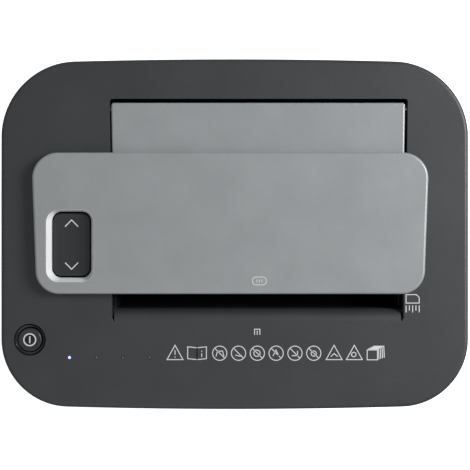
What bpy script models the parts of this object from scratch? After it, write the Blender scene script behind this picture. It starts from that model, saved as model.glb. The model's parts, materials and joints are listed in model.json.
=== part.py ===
"""Cabinet paper shredder with a lidded pile-feed tray, built as separate pieces.

World frame: metres, +Z up, origin on the floor under the middle of the machine.
The front, where the bin pulls out, faces -Y.
"""
import math

import bmesh
import bpy
from mathutils import Vector

MM = 0.001

# ---------------------------------------------------------------- clearances
FIT = 0.3 * MM              # between faces that touch
RUNNING_FIT = 0.3 * MM      # round a shaft, pin or post
SHADOW_GAP = 0.6 * MM       # between bin front and cabinet sides
OVERCUT = 1.0 * MM          # how far a cutter runs past the face it opens

# ---------------------------------------------------------------- driving sizes
WIDTH = 500 * MM
DEPTH = 375 * MM
DECK_TOP = 620 * MM
CROWN = 5 * MM              # bow of the front and rear edges
REAR_CORNER = 78 * MM
FRONT_CORNER = 70 * MM
EDGE_ROUND = 5 * MM
WALL = 3 * MM
DECK_THICKNESS = 3.5 * MM
HEAD_HEIGHT = 168 * MM
CABINET_INSET = 4 * MM
BOARD_THICKNESS = 14 * MM
HEAD_BASE_THICKNESS = 3 * MM

PAPER_LONG = 297 * MM
PAPER_SHORT = 210 * MM
PATH_X = 24.5 * MM          # the paper path sits right of the middle; the drive is on the left

# ---------------------------------------------------------------- mouth and tray
MOUTH_FROM_FRONT = 94.5 * MM
LIP_RUN = 13 * MM
LIP_DROP = 14 * MM
MOUTH_GAP = 18 * MM
MOUTH_SIDE = 5.5 * MM       # each side of the paper
MOUTH_BLOCK_DEPTH = 20 * MM
BRIDGE = 4 * MM             # deck strip between mouth and tray
TRAY_OPENING = 202.6 * MM   # front to rear
TRAY_FLARE = 3 * MM         # each side, front to rear
TRAY_SIDE = 6.5 * MM        # each side of the paper, at the front
TRAY_DEPTH = 45 * MM
TRAY_WALL = 2.5 * MM
TRAY_SPARE = 4 * MM         # tray longer than the paper, front to rear
SLOT_FROM_TRAY_FRONT = 30 * MM
SLOT_WIDTH = 12 * MM

# ---------------------------------------------------------------- lid
LID_SIDE_GAP = 1.6 * MM
LID_RIGHT_GAP = 3.0 * MM
LID_REAR_GAP = 4.4 * MM
LID_SKIN = 3 * MM
LID_STEP = 12 * MM          # raised panel above the deck
LID_LIFT = 1.2 * MM         # under the raised panel's skirt
LID_REAR_TOP = 1 * MM       # rear part above the deck
PANEL_DEPTH = 149.6 * MM
PANEL_OVERHANG = 1.3 * MM   # raised panel over the mouth
PANEL_LEFT_INSET = 34.8 * MM
PANEL_RIGHT_INSET = 44.3 * MM
PANEL_TAPER = 5.5 * MM
RISER_SETBACK = 8 * MM      # rear part runs this far under the raised panel
PANEL_REAR_CORNER = 27 * MM
PANEL_FRONT_CORNER = 25 * MM
HINGE_FROM_REAR = 6 * MM    # pin axis in front of the lid's rear edge
HINGE_DROP = 7 * MM         # pin axis below the deck
HINGE_PIN_RADIUS = 2.5 * MM
LUG_RADIUS = 6 * MM
LUG_WIDTH = 8 * MM
LINER_DROP = 14 * MM
PLATE_THICKNESS = 3 * MM
PLATE_SIZE = (230 * MM, 100 * MM)
PLATE_TRAVEL = 14 * MM
SPRING_SOLID = 6 * MM       # height of a closed pressure spring
POST_RADIUS = 3 * MM
POST_SPREAD = 80 * MM

# ---------------------------------------------------------------- controls
ROCKER_FROM_LEFT = 76.5 * MM
ROCKER_Y = -11.1 * MM
ROCKER_SIZE = (39.5 * MM, 67 * MM)
ROCKER_CORNER = 7 * MM
ROCKER_RISE = 4 * MM
ROCKER_PIVOT_DROP = 8 * MM
ROCKER_GAP = 1.0 * MM
ROCKER_END_GAP = 1.6 * MM
ROCKER_WELL = 22 * MM
WINDOW_FLARE = 3.6 * MM
COLLAR_WALL = 3.5 * MM
BUTTON_FROM_LEFT = 31.4 * MM
BUTTON_FROM_FRONT = 74.9 * MM
BUTTON_RADIUS = 12.45 * MM
BUTTON_GAP = 1.4 * MM
BUTTON_DISH = 2.4 * MM
LAMP_PITCH = 28.4 * MM
LAMP_COUNT = 4
LAMP_RADIUS = 1.6 * MM
LAMP_FROM_FRONT = 55.9 * MM
LAMP_FROM_LEFT = 73.7 * MM
BOARD_DROP = 32.4 * MM      # control board under the deck

# ---------------------------------------------------------------- cutter unit and drive
CUTTER_DROP = 115 * MM
CUTTER_FROM_MOUTH = 22 * MM
MODULE = 2 * MM
ROLL_TEETH = 16
IDLER_TEETH = 24
FEED_TEETH = 12
DRIVE_MODULE = 2.1 * MM
DRIVE_TEETH = 40
PINION_TEETH = 10
GEAR_WIDTH = 8 * MM
GEAR_GAP = 5 * MM
DISC_RADIUS = 19 * MM
ROLL_SHOULDER = 3 * MM      # core ends short of the side plates
CORE_RADIUS = 12 * MM
DISC_PITCH = 30 * MM
DISC_WIDTH = 13 * MM
JOURNAL_RADIUS = 6 * MM
BEARING_RADIUS = 9.5 * MM
SIDE_PLATE = 3 * MM
SIDE_CLEARANCE = 16.5 * MM
TIE_ROD_RADIUS = 4 * MM
FEED_SHAFT_RADIUS = 4 * MM
FEED_ROLLER_RADIUS = 14 * MM
FEED_ROLLER_WIDTH = 26 * MM
FEED_ROLLER_SPREAD = 50 * MM
FEED_ROLLER_PROUD = 2 * MM
MOTOR_RADIUS = 32 * MM
MOTOR_LENGTH = 58 * MM
MOTOR_NOSE = 14 * MM
MOTOR_SHAFT = 2.5 * MM

INLET_HOLE = (28 * MM, 20.4 * MM)

# ---------------------------------------------------------------- bin and castors
BIN_SPLIT_FROM_FRONT = 79.5 * MM
BIN_SIDE_GAP = 8 * MM
BIN_REAR_GAP = 27 * MM
BIN_WALL = 2.5 * MM
BIN_TOP_GAP = 19 * MM
RAIL_HEIGHT = 4 * MM
WINDOW_SIZE = (60 * MM, 200 * MM)
WINDOW_BOTTOM = 86 * MM     # above the board
HANDLE_SIZE = (130 * MM, 36 * MM)
HANDLE_BELOW_TOP = 26 * MM
HANDLE_DEPTH = 30 * MM
CASTOR_RADIUS = 20 * MM
CASTOR_WIDTH = 16 * MM
CASTOR_TRAIL = 14 * MM
CASTOR_HEADROOM = 10 * MM   # board above the wheels
CASTOR_FROM_SIDE = 45 * MM
CASTOR_FROM_END = 59.5 * MM
STEM_RADIUS = 5 * MM
AXLE_RADIUS = 3 * MM
STEM_LENGTH = 12 * MM

# ---------------------------------------------------------------- places worked out from the sizes
FRONT = -DEPTH / 2
DECK_UNDER = DECK_TOP - DECK_THICKNESS
SKIRT_BOTTOM = DECK_TOP - HEAD_HEIGHT + FIT
HEAD_BASE_TOP = SKIRT_BOTTOM - FIT
HEAD_BASE_BOTTOM = HEAD_BASE_TOP - HEAD_BASE_THICKNESS
BOARD_BOTTOM = 2 * CASTOR_RADIUS + CASTOR_HEADROOM
BOARD_TOP = BOARD_BOTTOM + BOARD_THICKNESS
PEDAL_REACH = 0.85 * CASTOR_RADIUS      # brake pivot in front of the axle
PEDAL_RISE = 0.8 * CASTOR_RADIUS        # and above it
CABINET_TOP = HEAD_BASE_BOTTOM - FIT
CABINET_BOTTOM = BOARD_TOP + FIT

MOUTH_FRONT = FRONT + MOUTH_FROM_FRONT
MOUTH_LIP = MOUTH_FRONT + LIP_RUN
MOUTH_REAR = MOUTH_LIP + MOUTH_GAP
MOUTH_HALF = PAPER_LONG / 2 + MOUTH_SIDE
TRAY_FRONT = MOUTH_REAR + BRIDGE
TRAY_REAR = TRAY_FRONT + TRAY_OPENING
TRAY_FLOOR = DECK_TOP - TRAY_DEPTH
TRAY_HALF = PAPER_LONG / 2 + TRAY_SIDE
SLOT_FRONT = TRAY_FRONT + SLOT_FROM_TRAY_FRONT

LID_REAR = TRAY_REAR - LID_REAR_GAP
PANEL_FRONT = MOUTH_REAR - PANEL_OVERHANG
PANEL_REAR = PANEL_FRONT + PANEL_DEPTH
PANEL_TOP = DECK_TOP + LID_STEP
PANEL_BOTTOM = DECK_TOP + LID_LIFT
HINGE_Y = LID_REAR - HINGE_FROM_REAR
HINGE_Z = DECK_TOP - HINGE_DROP
LINER_BOTTOM = DECK_TOP - LINER_DROP
PLATE_TOP = LINER_BOTTOM - PLATE_TRAVEL - SPRING_SOLID
POST_Y = (PANEL_FRONT + PANEL_REAR) / 2 + 18 * MM

ROCKER_X = -WIDTH / 2 + ROCKER_FROM_LEFT
ROCKER_PIVOT = DECK_TOP - ROCKER_PIVOT_DROP
BUTTON_X = -WIDTH / 2 + BUTTON_FROM_LEFT
BUTTON_Y = FRONT + BUTTON_FROM_FRONT
LAMP_X = -WIDTH / 2 + LAMP_FROM_LEFT
LAMP_Y = FRONT + LAMP_FROM_FRONT
BOARD_TOP_FACE = DECK_TOP - BOARD_DROP

CUTTER_Z = DECK_TOP - CUTTER_DROP
CUTTER_SPACING = MODULE * ROLL_TEETH
NIP_Y = MOUTH_REAR + CUTTER_FROM_MOUTH
FRONT_ROLL_Y = NIP_Y - CUTTER_SPACING / 2
REAR_ROLL_Y = NIP_Y + CUTTER_SPACING / 2
PLATE_HALF = PAPER_LONG / 2 + SIDE_CLEARANCE
LEFT_PLATE = PATH_X - PLATE_HALF
RIGHT_PLATE = PATH_X + PLATE_HALF
GEAR_RIGHT = LEFT_PLATE - SIDE_PLATE - 11 * MM
GEAR_LEFT = GEAR_RIGHT - GEAR_WIDTH
DRIVE_RIGHT = GEAR_LEFT - GEAR_GAP
DRIVE_LEFT = DRIVE_RIGHT - GEAR_WIDTH
COVER_INSIDE = DRIVE_LEFT - 2.5 * MM
COVER_OUTSIDE = COVER_INSIDE - TRAY_WALL

FEED_Z = TRAY_FLOOR + FEED_ROLLER_PROUD - FEED_ROLLER_RADIUS
TRAIN_REACH = MODULE * (ROLL_TEETH + 2 * IDLER_TEETH + FEED_TEETH) / 2
TRAIN_ANGLE = math.asin((FEED_Z - CUTTER_Z) / TRAIN_REACH)
FEED_Y = REAR_ROLL_Y + TRAIN_REACH * math.cos(TRAIN_ANGLE)
IDLER_REACH = MODULE * (ROLL_TEETH + IDLER_TEETH) / 2
IDLER_Y = REAR_ROLL_Y + IDLER_REACH * math.cos(TRAIN_ANGLE)
IDLER_Z = CUTTER_Z + IDLER_REACH * math.sin(TRAIN_ANGLE)
MOTOR_Y = FRONT_ROLL_Y + DRIVE_MODULE * (DRIVE_TEETH + PINION_TEETH) / 2

BIN_SPLIT = FRONT + BIN_SPLIT_FROM_FRONT
BIN_BOTTOM = CABINET_BOTTOM + RAIL_HEIGHT + FIT
BIN_TOP = CABINET_TOP - BIN_TOP_GAP
CASTOR_X = WIDTH / 2 - CASTOR_FROM_SIDE
CASTOR_Y = DEPTH / 2 - CASTOR_FROM_END

# ---------------------------------------------------------------- finishes: colour, roughness, metallic
DARK_ABS = ((0.055, 0.060, 0.066), 0.55, 0.0)
BLACK_ABS = ((0.020, 0.021, 0.023), 0.6, 0.0)
SILVER_ABS = ((0.26, 0.27, 0.28), 0.38, 0.3)
CLEAR_PLASTIC = ((0.75, 0.82, 0.95), 0.15, 0.0)
SMOKED_PLASTIC = ((0.08, 0.09, 0.10), 0.12, 0.0)
STEEL = ((0.45, 0.46, 0.47), 0.35, 1.0)
ZINC = ((0.55, 0.56, 0.55), 0.4, 1.0)
NYLON = ((0.75, 0.73, 0.66), 0.5, 0.0)
RUBBER = ((0.03, 0.03, 0.03), 0.85, 0.0)
CHIPBOARD = ((0.35, 0.26, 0.17), 0.8, 0.0)
CIRCUIT = ((0.02, 0.16, 0.07), 0.45, 0.0)

CORNER_STEPS = 6
EDGE_STEPS = 8


# ---------------------------------------------------------------- outlines
def filleted(corners, radii, steps=CORNER_STEPS, fills=(0, 0, 0, 0)):
    """Round the corners of a convex outline; fills adds points along each side."""
    count = len(corners)
    outline = []
    for index in range(count):
        corner = Vector(corners[index])
        back = (Vector(corners[index - 1]) - corner).normalized()
        ahead = (Vector(corners[(index + 1) % count]) - corner).normalized()
        half_angle = math.acos(max(-1.0, min(1.0, back.dot(ahead)))) / 2
        reach = radii[index] / math.tan(half_angle)
        centre = corner + (back + ahead).normalized() * radii[index] / math.sin(half_angle)
        start = corner + back * reach - centre
        turn = math.pi - 2 * half_angle
        for step in range(steps + 1):
            angle = turn * step / steps
            outline.append((centre.x + start.x * math.cos(angle) - start.y * math.sin(angle),
                            centre.y + start.x * math.sin(angle) + start.y * math.cos(angle)))
        if fills[index]:
            following = Vector(corners[(index + 1) % count])
            back_next = -ahead
            ahead_next = (Vector(corners[(index + 2) % count]) - following).normalized()
            half_next = math.acos(back_next.dot(ahead_next)) / 2
            stop = following + back_next * radii[(index + 1) % count] / math.tan(half_next)
            begin = Vector(outline[-1])
            for step in range(1, fills[index] + 1):
                outline.append(tuple(begin.lerp(stop, step / (fills[index] + 1))))
    return outline


def inset_corners(corners, distance):
    """Move each side of a convex, anticlockwise outline inwards."""
    count = len(corners)
    moved = []
    for index in range(count):
        corner = Vector(corners[index])
        along_in = (corner - Vector(corners[index - 1])).normalized()
        along_out = (Vector(corners[(index + 1) % count]) - corner).normalized()
        inward_in = Vector((-along_in.y, along_in.x))
        inward_out = Vector((-along_out.y, along_out.x))
        bisector = (inward_in + inward_out).normalized()
        moved.append(tuple(corner + bisector * distance / bisector.dot(inward_out)))
    return moved


def rectangle(low, high):
    """Corners of a rectangle, anticlockwise from its front left."""
    return [(low[0], low[1]), (high[0], low[1]), (high[0], high[1]), (low[0], high[1])]


def rounded_rectangle(centre, size, radius, inset=0.0):
    """Outline of a rectangle with round corners, made smaller all round by inset."""
    half_x = size[0] / 2 - inset
    half_y = size[1] / 2 - inset
    corners = rectangle((centre[0] - half_x, centre[1] - half_y), (centre[0] + half_x, centre[1] + half_y))
    return filleted(corners, [radius - inset] * 4)


def crowned(outline):
    """Bow the front and rear edges outwards."""
    plain_half = DEPTH / 2 - CROWN
    bowed = []
    for x, y in outline:
        swell = 1 + CROWN / plain_half * (1 - (2 * x / WIDTH) ** 2)
        bowed.append((x, y * swell))
    return bowed


def body_outline(inset):
    """Plan outline of the machine, made smaller all round by inset."""
    half_x = WIDTH / 2 - inset
    half_y = DEPTH / 2 - CROWN - inset
    radii = [FRONT_CORNER - inset, FRONT_CORNER - inset, REAR_CORNER - inset, REAR_CORNER - inset]
    corners = rectangle((-half_x, -half_y), (half_x, half_y))
    return crowned(filleted(corners, radii, CORNER_STEPS, (EDGE_STEPS, 0, EDGE_STEPS, 0)))


def tray_corners():
    """Deck opening over the tray, a little wider at the rear."""
    return [(PATH_X - TRAY_HALF, TRAY_FRONT), (PATH_X + TRAY_HALF, TRAY_FRONT),
            (PATH_X + TRAY_HALF + TRAY_FLARE, TRAY_REAR), (PATH_X - TRAY_HALF - TRAY_FLARE, TRAY_REAR)]


def panel_outline(inset):
    """Raised lid panel, a little wider at the rear."""
    left = -WIDTH / 2 + PANEL_LEFT_INSET
    right = WIDTH / 2 - PANEL_RIGHT_INSET
    corners = [(left + PANEL_TAPER, PANEL_FRONT), (right - PANEL_TAPER, PANEL_FRONT),
               (right, PANEL_REAR), (left, PANEL_REAR)]
    radii = [PANEL_FRONT_CORNER - inset, PANEL_FRONT_CORNER - inset,
             PANEL_REAR_CORNER - inset, PANEL_REAR_CORNER - inset]
    return filleted(inset_corners(corners, inset), radii)


def tub_outline(inset):
    """Plan outline of the bin, inside the cabinet walls and the bin front."""
    half_x = WIDTH / 2 - CABINET_INSET - WALL - BIN_SIDE_GAP - inset
    front = FRONT + CROWN + CABINET_INSET + WALL + FIT + inset
    rear = DEPTH / 2 - CROWN - CABINET_INSET - WALL - BIN_REAR_GAP - inset
    front_radius = FRONT_CORNER - CABINET_INSET - WALL - 5 * MM - inset
    rear_radius = 20 * MM - inset
    corners = rectangle((-half_x, front), (half_x, rear))
    radii = [front_radius, front_radius, rear_radius, rear_radius]
    return crowned(filleted(corners, radii, CORNER_STEPS, (EDGE_STEPS, 0, EDGE_STEPS, 0)))


# ---------------------------------------------------------------- solids
def solid(name, points, faces):
    """Make an object from points and faces, with its faces pointing out."""
    mesh = bpy.data.meshes.new(name)
    mesh.from_pydata([tuple(point) for point in points], [], faces)
    shape = bmesh.new()
    shape.from_mesh(mesh)
    bmesh.ops.recalc_face_normals(shape, faces=shape.faces)
    shape.to_mesh(mesh)
    shape.free()
    piece = bpy.data.objects.new(name, mesh)
    bpy.context.scene.collection.objects.link(piece)
    return piece


def loft(name, sections, closed_loop=False):
    """Join sections of equal point count; the two end sections are capped."""
    count = len(sections[0])
    points = [point for section in sections for point in section]
    faces = []
    spans = len(sections) if closed_loop else len(sections) - 1
    for row in range(spans):
        base = row * count
        above = ((row + 1) % len(sections)) * count
        for index in range(count):
            after = (index + 1) % count
            faces.append((base + index, base + after, above + after, above + index))
    if not closed_loop:
        faces.append(tuple(reversed(range(count))))
        faces.append(tuple(range(len(points) - count, len(points))))
    return solid(name, points, faces)


def level(outline, z):
    """Lay a plan outline at a height."""
    return [(x, y, z) for x, y in outline]


def prism(name, outline, low, high):
    """Upright solid of a plan outline."""
    return loft(name, [level(outline, low), level(outline, high)])


def prism_x(name, profile, left, right):
    """Solid of a (y, z) profile, extruded along X."""
    return loft(name, [[(left, y, z) for y, z in profile], [(right, y, z) for y, z in profile]])


def box(name, low, high):
    """Block between two corners."""
    return prism(name, rectangle(low, high), low[2], high[2])


def rounded_top(name, outline_at, low, high, radius, steps=3):
    """Upright solid with a rounded top edge; outline_at gives the outline at an inset."""
    sections = [level(outline_at(0.0), low)]
    for step in range(steps + 1):
        angle = math.pi / 2 * step / steps
        inset = radius * (1 - math.cos(angle))
        sections.append(level(outline_at(inset), high - radius + radius * math.sin(angle)))
    return loft(name, sections)


def turned(name, profile, centre, axis, steps=16, bored=False):
    """Turn (place along the axis, radius) points about a line along X or Z.

    A bored profile is a closed loop; otherwise both ends are capped flat.
    """
    sections = []
    for place, radius in profile:
        ring = []
        for step in range(steps):
            angle = 2 * math.pi * step / steps
            across = radius * math.cos(angle)
            up = radius * math.sin(angle)
            if axis == "X":
                ring.append((place, centre[1] + across, centre[2] + up))
            else:
                ring.append((centre[0] + across, centre[1] + up, place))
        sections.append(ring)
    piece = loft(name, sections, closed_loop=bored)
    piece.data.shade_smooth()
    piece.data.set_sharp_from_angle(angle=math.radians(35))
    return piece


def cylinder(name, centre, radius, low, high, axis, steps=16):
    """Round bar between two places along an axis."""
    return turned(name, [(low, radius), (high, radius)], centre, axis, steps)


def coil(name, centre, radius, wire, turns, low, high, steps=8, sides=5):
    """Compression spring of round wire, its ends closed off square."""
    rings = []
    total = int(turns * steps)
    for step in range(total + 1):
        angle = 2 * math.pi * step / steps
        z = low + wire + (high - low - 2 * wire) * step / total
        out = Vector((math.cos(angle), math.sin(angle), 0.0))
        middle = Vector((centre[0], centre[1], z)) + out * radius
        ring = []
        for side in range(sides):
            around = 2 * math.pi * side / sides
            rise = Vector((0, 0, wire * math.sin(around)))
            ring.append(tuple(middle + out * wire * math.cos(around) + rise))
        rings.append(ring)
    piece = loft(name, rings)
    piece.data.shade_smooth()
    return piece


def combine(target, tools, operation):
    """Apply Boolean tools to a piece and remove them."""
    for tool in tools:
        step = target.modifiers.new(tool.name, "BOOLEAN")
        step.solver = "EXACT"
        step.operation = operation
        step.object = tool
    bpy.context.view_layer.update()
    evaluated = target.evaluated_get(bpy.context.evaluated_depsgraph_get())
    result = bpy.data.meshes.new_from_object(evaluated)
    target.modifiers.clear()
    target.data = result
    for tool in tools:
        bpy.data.objects.remove(tool, do_unlink=True)
    return target


def cut(target, *tools):
    """Take tools away from a piece."""
    return combine(target, tools, "DIFFERENCE")


def join(target, *others):
    """Add others to a piece."""
    return combine(target, others, "UNION")


def keep(target, *tools):
    """Keep what lies inside a tool."""
    return combine(target, tools, "INTERSECT")


def divide_faces(piece, x):
    """Divide a piece's faces along a plane across X; its shape stays as it is."""
    shape = bmesh.new()
    shape.from_mesh(piece.data)
    everything = shape.verts[:] + shape.edges[:] + shape.faces[:]
    bmesh.ops.bisect_plane(shape, geom=everything, plane_co=(x, 0, 0), plane_no=(1, 0, 0))
    shape.to_mesh(piece.data)
    shape.free()


def place(piece, finish, pivot):
    """Give a piece its own material and put its origin at pivot, the mesh staying where it is."""
    colour, roughness, metallic = finish
    material = bpy.data.materials.new(piece.name + "_finish")
    material.use_nodes = True
    shader = material.node_tree.nodes["Principled BSDF"]
    shader.inputs["Base Color"].default_value = (*colour, 1.0)
    shader.inputs["Roughness"].default_value = roughness
    shader.inputs["Metallic"].default_value = metallic
    piece.data.materials.clear()
    piece.data.materials.append(material)
    for vertex in piece.data.vertices:
        vertex.co -= Vector(pivot)
    piece.location = pivot
    return piece


# ---------------------------------------------------------------- gears
def gear_profile(teeth, module, centre, phase):
    """(y, z) outline of a spur gear with straight-sided teeth and some backlash."""
    pitch_radius = teeth * module / 2
    tip_radius = pitch_radius + 0.9 * module
    root_radius = pitch_radius - 1.2 * module
    slope = math.tan(math.radians(20))
    half_pitch = math.pi / (2 * teeth) * 0.80
    half_tip = half_pitch - 0.9 * module * slope / tip_radius
    half_root = half_pitch + 1.2 * module * slope / root_radius
    profile = []
    for tooth in range(teeth):
        middle = phase + 2 * math.pi * tooth / teeth
        for offset, radius in ((-half_root, root_radius), (-half_tip, tip_radius),
                               (half_tip, tip_radius), (half_root, root_radius)):
            profile.append((centre[0] + radius * math.cos(middle + offset),
                            centre[1] + radius * math.sin(middle + offset)))
    return profile


def meshing_phase(phase, teeth, other_teeth, direction):
    """Phase of a gear in mesh with another that lies in the given direction from the first."""
    shift = (direction - phase) * teeth / (2 * math.pi)
    return direction + math.pi - (0.5 - shift) * 2 * math.pi / other_teeth


def gear(name, teeth, module, centre, phase, left, right, bore):
    """Spur gear along X; a bore of zero leaves it solid."""
    piece = prism_x(name, gear_profile(teeth, module, centre, phase), left, right)
    if bore:
        hole = cylinder(name + "_bore", (0, centre[0], centre[1]), bore, left - OVERCUT, right + OVERCUT, "X")
        cut(piece, hole)
    return piece


# ---------------------------------------------------------------- head cover
def mouth_cutter():
    """Manual mouth: a rolled front lip running down into the throat."""
    profile = [(MOUTH_FRONT, DECK_TOP + OVERCUT)]
    for step in range(7):
        angle = math.pi / 2 * step / 6
        profile.append((MOUTH_FRONT + LIP_RUN * math.sin(angle), DECK_TOP - LIP_DROP * (1 - math.cos(angle))))
    bottom = DECK_TOP - MOUTH_BLOCK_DEPTH - OVERCUT
    profile += [(MOUTH_LIP, bottom), (MOUTH_REAR, bottom), (MOUTH_REAR, DECK_TOP + OVERCUT)]
    return prism_x("mouth_cutter", profile, PATH_X - MOUTH_HALF, PATH_X + MOUTH_HALF)


def build_top_deck():
    """Head cover with its skirt, openings and bosses."""
    deck = rounded_top("top_deck", body_outline, SKIRT_BOTTOM, DECK_TOP, EDGE_ROUND)
    hollow = prism("deck_hollow", body_outline(WALL), SKIRT_BOTTOM - OVERCUT, DECK_UNDER)
    cut(deck, hollow)
    block = box("mouth_block",
                (PATH_X - MOUTH_HALF - WALL, MOUTH_FRONT - WALL, DECK_TOP - MOUTH_BLOCK_DEPTH),
                (PATH_X + MOUTH_HALF + WALL, TRAY_FRONT, DECK_UNDER + OVERCUT))
    boss = cylinder("button_boss", (BUTTON_X, BUTTON_Y, 0), BUTTON_RADIUS + BUTTON_GAP + 3.6 * MM,
                    DECK_TOP - 17 * MM, DECK_UNDER + OVERCUT, "Z", 24)
    posts = []
    for index, (x, y) in enumerate(board_post_places()):
        posts.append(cylinder(f"board_post_{index}", (x, y, 0), 3.5 * MM, BOARD_TOP_FACE + FIT,
                              DECK_UNDER + OVERCUT, "Z", 12))
    join(deck, block, boss, *posts)
    tray_hole = prism("tray_hole", filleted(tray_corners(), [3 * MM] * 4, 3), DECK_TOP - 30 * MM,
                      DECK_TOP + OVERCUT)
    rocker_hole = prism("rocker_hole", rocker_well_outline(0.0), DECK_TOP - 10 * MM, DECK_TOP + OVERCUT)
    dish = turned("button_dish", [(DECK_TOP - 20 * MM, BUTTON_RADIUS + BUTTON_GAP),
                                  (DECK_TOP - BUTTON_DISH, BUTTON_RADIUS + BUTTON_GAP),
                                  (DECK_TOP, BUTTON_RADIUS + BUTTON_GAP + BUTTON_DISH),
                                  (DECK_TOP + OVERCUT, BUTTON_RADIUS + BUTTON_GAP + BUTTON_DISH)],
                  (BUTTON_X, BUTTON_Y, 0), "Z", 24)
    lamp_holes = []
    for index in range(LAMP_COUNT):
        lamp_holes.append(cylinder(f"lamp_hole_{index}", (LAMP_X + index * LAMP_PITCH, LAMP_Y, 0),
                                   LAMP_RADIUS + FIT, DECK_UNDER - OVERCUT, DECK_TOP + OVERCUT, "Z", 12))
    vents = []
    for index in range(9):
        y = MOTOR_Y + (index - 4) * 8 * MM
        vents.append(box(f"motor_vent_{index}", (-WIDTH / 2 - OVERCUT, y - 1.5 * MM, CUTTER_Z - 35 * MM),
                         (-WIDTH / 2 + WALL + OVERCUT, y + 1.5 * MM, CUTTER_Z + 35 * MM)))
    cut(deck, mouth_cutter(), tray_hole, rocker_hole, dish, *lamp_holes, *vents)
    place(deck, DARK_ABS, (0, 0, DECK_TOP))


def board_post_places():
    """Where the control board hangs from the deck."""
    right = LAMP_X + (LAMP_COUNT - 1) * LAMP_PITCH + 4 * MM
    left = BUTTON_X + 22 * MM
    return [(left, LAMP_Y - 2 * MM), (right, LAMP_Y + 8 * MM),
            (left, BUTTON_Y + 4 * MM), (right, BUTTON_Y + 8 * MM)]


def rocker_well_outline(inset):
    """Outline of the hole in the deck that takes the rocker's pocket."""
    size = (ROCKER_SIZE[0] + 10 * MM, ROCKER_SIZE[1] + 10 * MM)
    return rounded_rectangle((ROCKER_X, ROCKER_Y), size, ROCKER_CORNER + 5 * MM, inset)


# ---------------------------------------------------------------- controls
def build_rocker():
    """Rocker with moulded trunnions, and the pocket that it tilts in."""
    def rocker_outline(inset):
        return rounded_rectangle((ROCKER_X, ROCKER_Y), ROCKER_SIZE, ROCKER_CORNER, inset)

    trunnion_end = ROCKER_SIZE[0] / 2 + ROCKER_GAP + 2 * MM
    rocker = rounded_top("rocker", rocker_outline, ROCKER_PIVOT - 6 * MM, DECK_TOP + ROCKER_RISE, 2 * MM)
    trunnion = cylinder("trunnion", (0, ROCKER_Y, ROCKER_PIVOT), 2 * MM, ROCKER_X - trunnion_end,
                        ROCKER_X + trunnion_end, "X", 12)
    join(rocker, trunnion)
    place(rocker, BLACK_ABS, (ROCKER_X, ROCKER_Y, ROCKER_PIVOT))

    bottom = DECK_TOP - ROCKER_WELL
    flange_top = DECK_UNDER - FIT
    flange_bottom = flange_top - 3 * MM
    body = rocker_well_outline(FIT)
    flange = rocker_well_outline(-4 * MM)
    rings = [(body, bottom), (body, flange_bottom), (flange, flange_bottom),
             (flange, flange_top), (body, flange_top), (body, DECK_TOP)]
    housing = loft("rocker_housing", [level(outline, z) for outline, z in rings])
    pocket_size = (ROCKER_SIZE[0] + 2 * ROCKER_GAP, ROCKER_SIZE[1] + 2 * ROCKER_END_GAP)
    pocket_outline = rounded_rectangle((ROCKER_X, ROCKER_Y), pocket_size, ROCKER_CORNER + ROCKER_GAP)
    pocket = prism("rocker_pocket", pocket_outline, bottom + 2 * MM, DECK_TOP + OVERCUT)
    seat_end = trunnion_end + FIT
    seat = cylinder("trunnion_seat", (0, ROCKER_Y, ROCKER_PIVOT), 2 * MM + RUNNING_FIT, ROCKER_X - seat_end,
                    ROCKER_X + seat_end, "X", 12)
    cut(housing, pocket, seat)
    place(housing, BLACK_ABS, (ROCKER_X, ROCKER_Y, DECK_TOP))


def build_buttons():
    """Power button on its spring, lamps and the control board."""
    flange = BUTTON_RADIUS + BUTTON_GAP - 0.35 * MM
    low = DECK_TOP - 16 * MM
    profile = [(low, flange), (low + 2 * MM, flange), (low + 2 * MM, BUTTON_RADIUS),
               (DECK_TOP - 0.7 * MM, BUTTON_RADIUS), (DECK_TOP + 0.4 * MM, BUTTON_RADIUS - 1.2 * MM),
               (DECK_TOP + 0.7 * MM, BUTTON_RADIUS - 5 * MM)]
    button = turned("power_button", profile, (BUTTON_X, BUTTON_Y, 0), "Z", 24)
    place(button, DARK_ABS, (BUTTON_X, BUTTON_Y, low))

    spring = coil("button_spring", (BUTTON_X, BUTTON_Y), 5 * MM, 0.6 * MM, 4, BOARD_TOP_FACE + FIT, low - FIT)
    place(spring, STEEL, (BUTTON_X, BUTTON_Y, BOARD_TOP_FACE))

    last = LAMP_X + (LAMP_COUNT - 1) * LAMP_PITCH
    lamps = box("light_pipe", (LAMP_X - 5 * MM, LAMP_Y - 3 * MM, DECK_TOP - 10 * MM),
                (last + 5 * MM, LAMP_Y + 3 * MM, DECK_TOP - 7 * MM))
    pips = []
    for index in range(LAMP_COUNT):
        pips.append(cylinder(f"pip_{index}", (LAMP_X + index * LAMP_PITCH, LAMP_Y, 0), LAMP_RADIUS,
                             DECK_TOP - 8 * MM, DECK_TOP + 0.2 * MM, "Z", 12))
    join(lamps, *pips)
    place(lamps, CLEAR_PLASTIC, (LAMP_X, LAMP_Y, DECK_TOP))

    board = box("control_board", (BUTTON_X - 12 * MM, LAMP_Y - 7 * MM, BOARD_TOP_FACE - 1.6 * MM),
                (last + 10 * MM, BUTTON_Y + 16 * MM, BOARD_TOP_FACE))
    place(board, CIRCUIT, (BUTTON_X, BUTTON_Y, BOARD_TOP_FACE))


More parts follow.
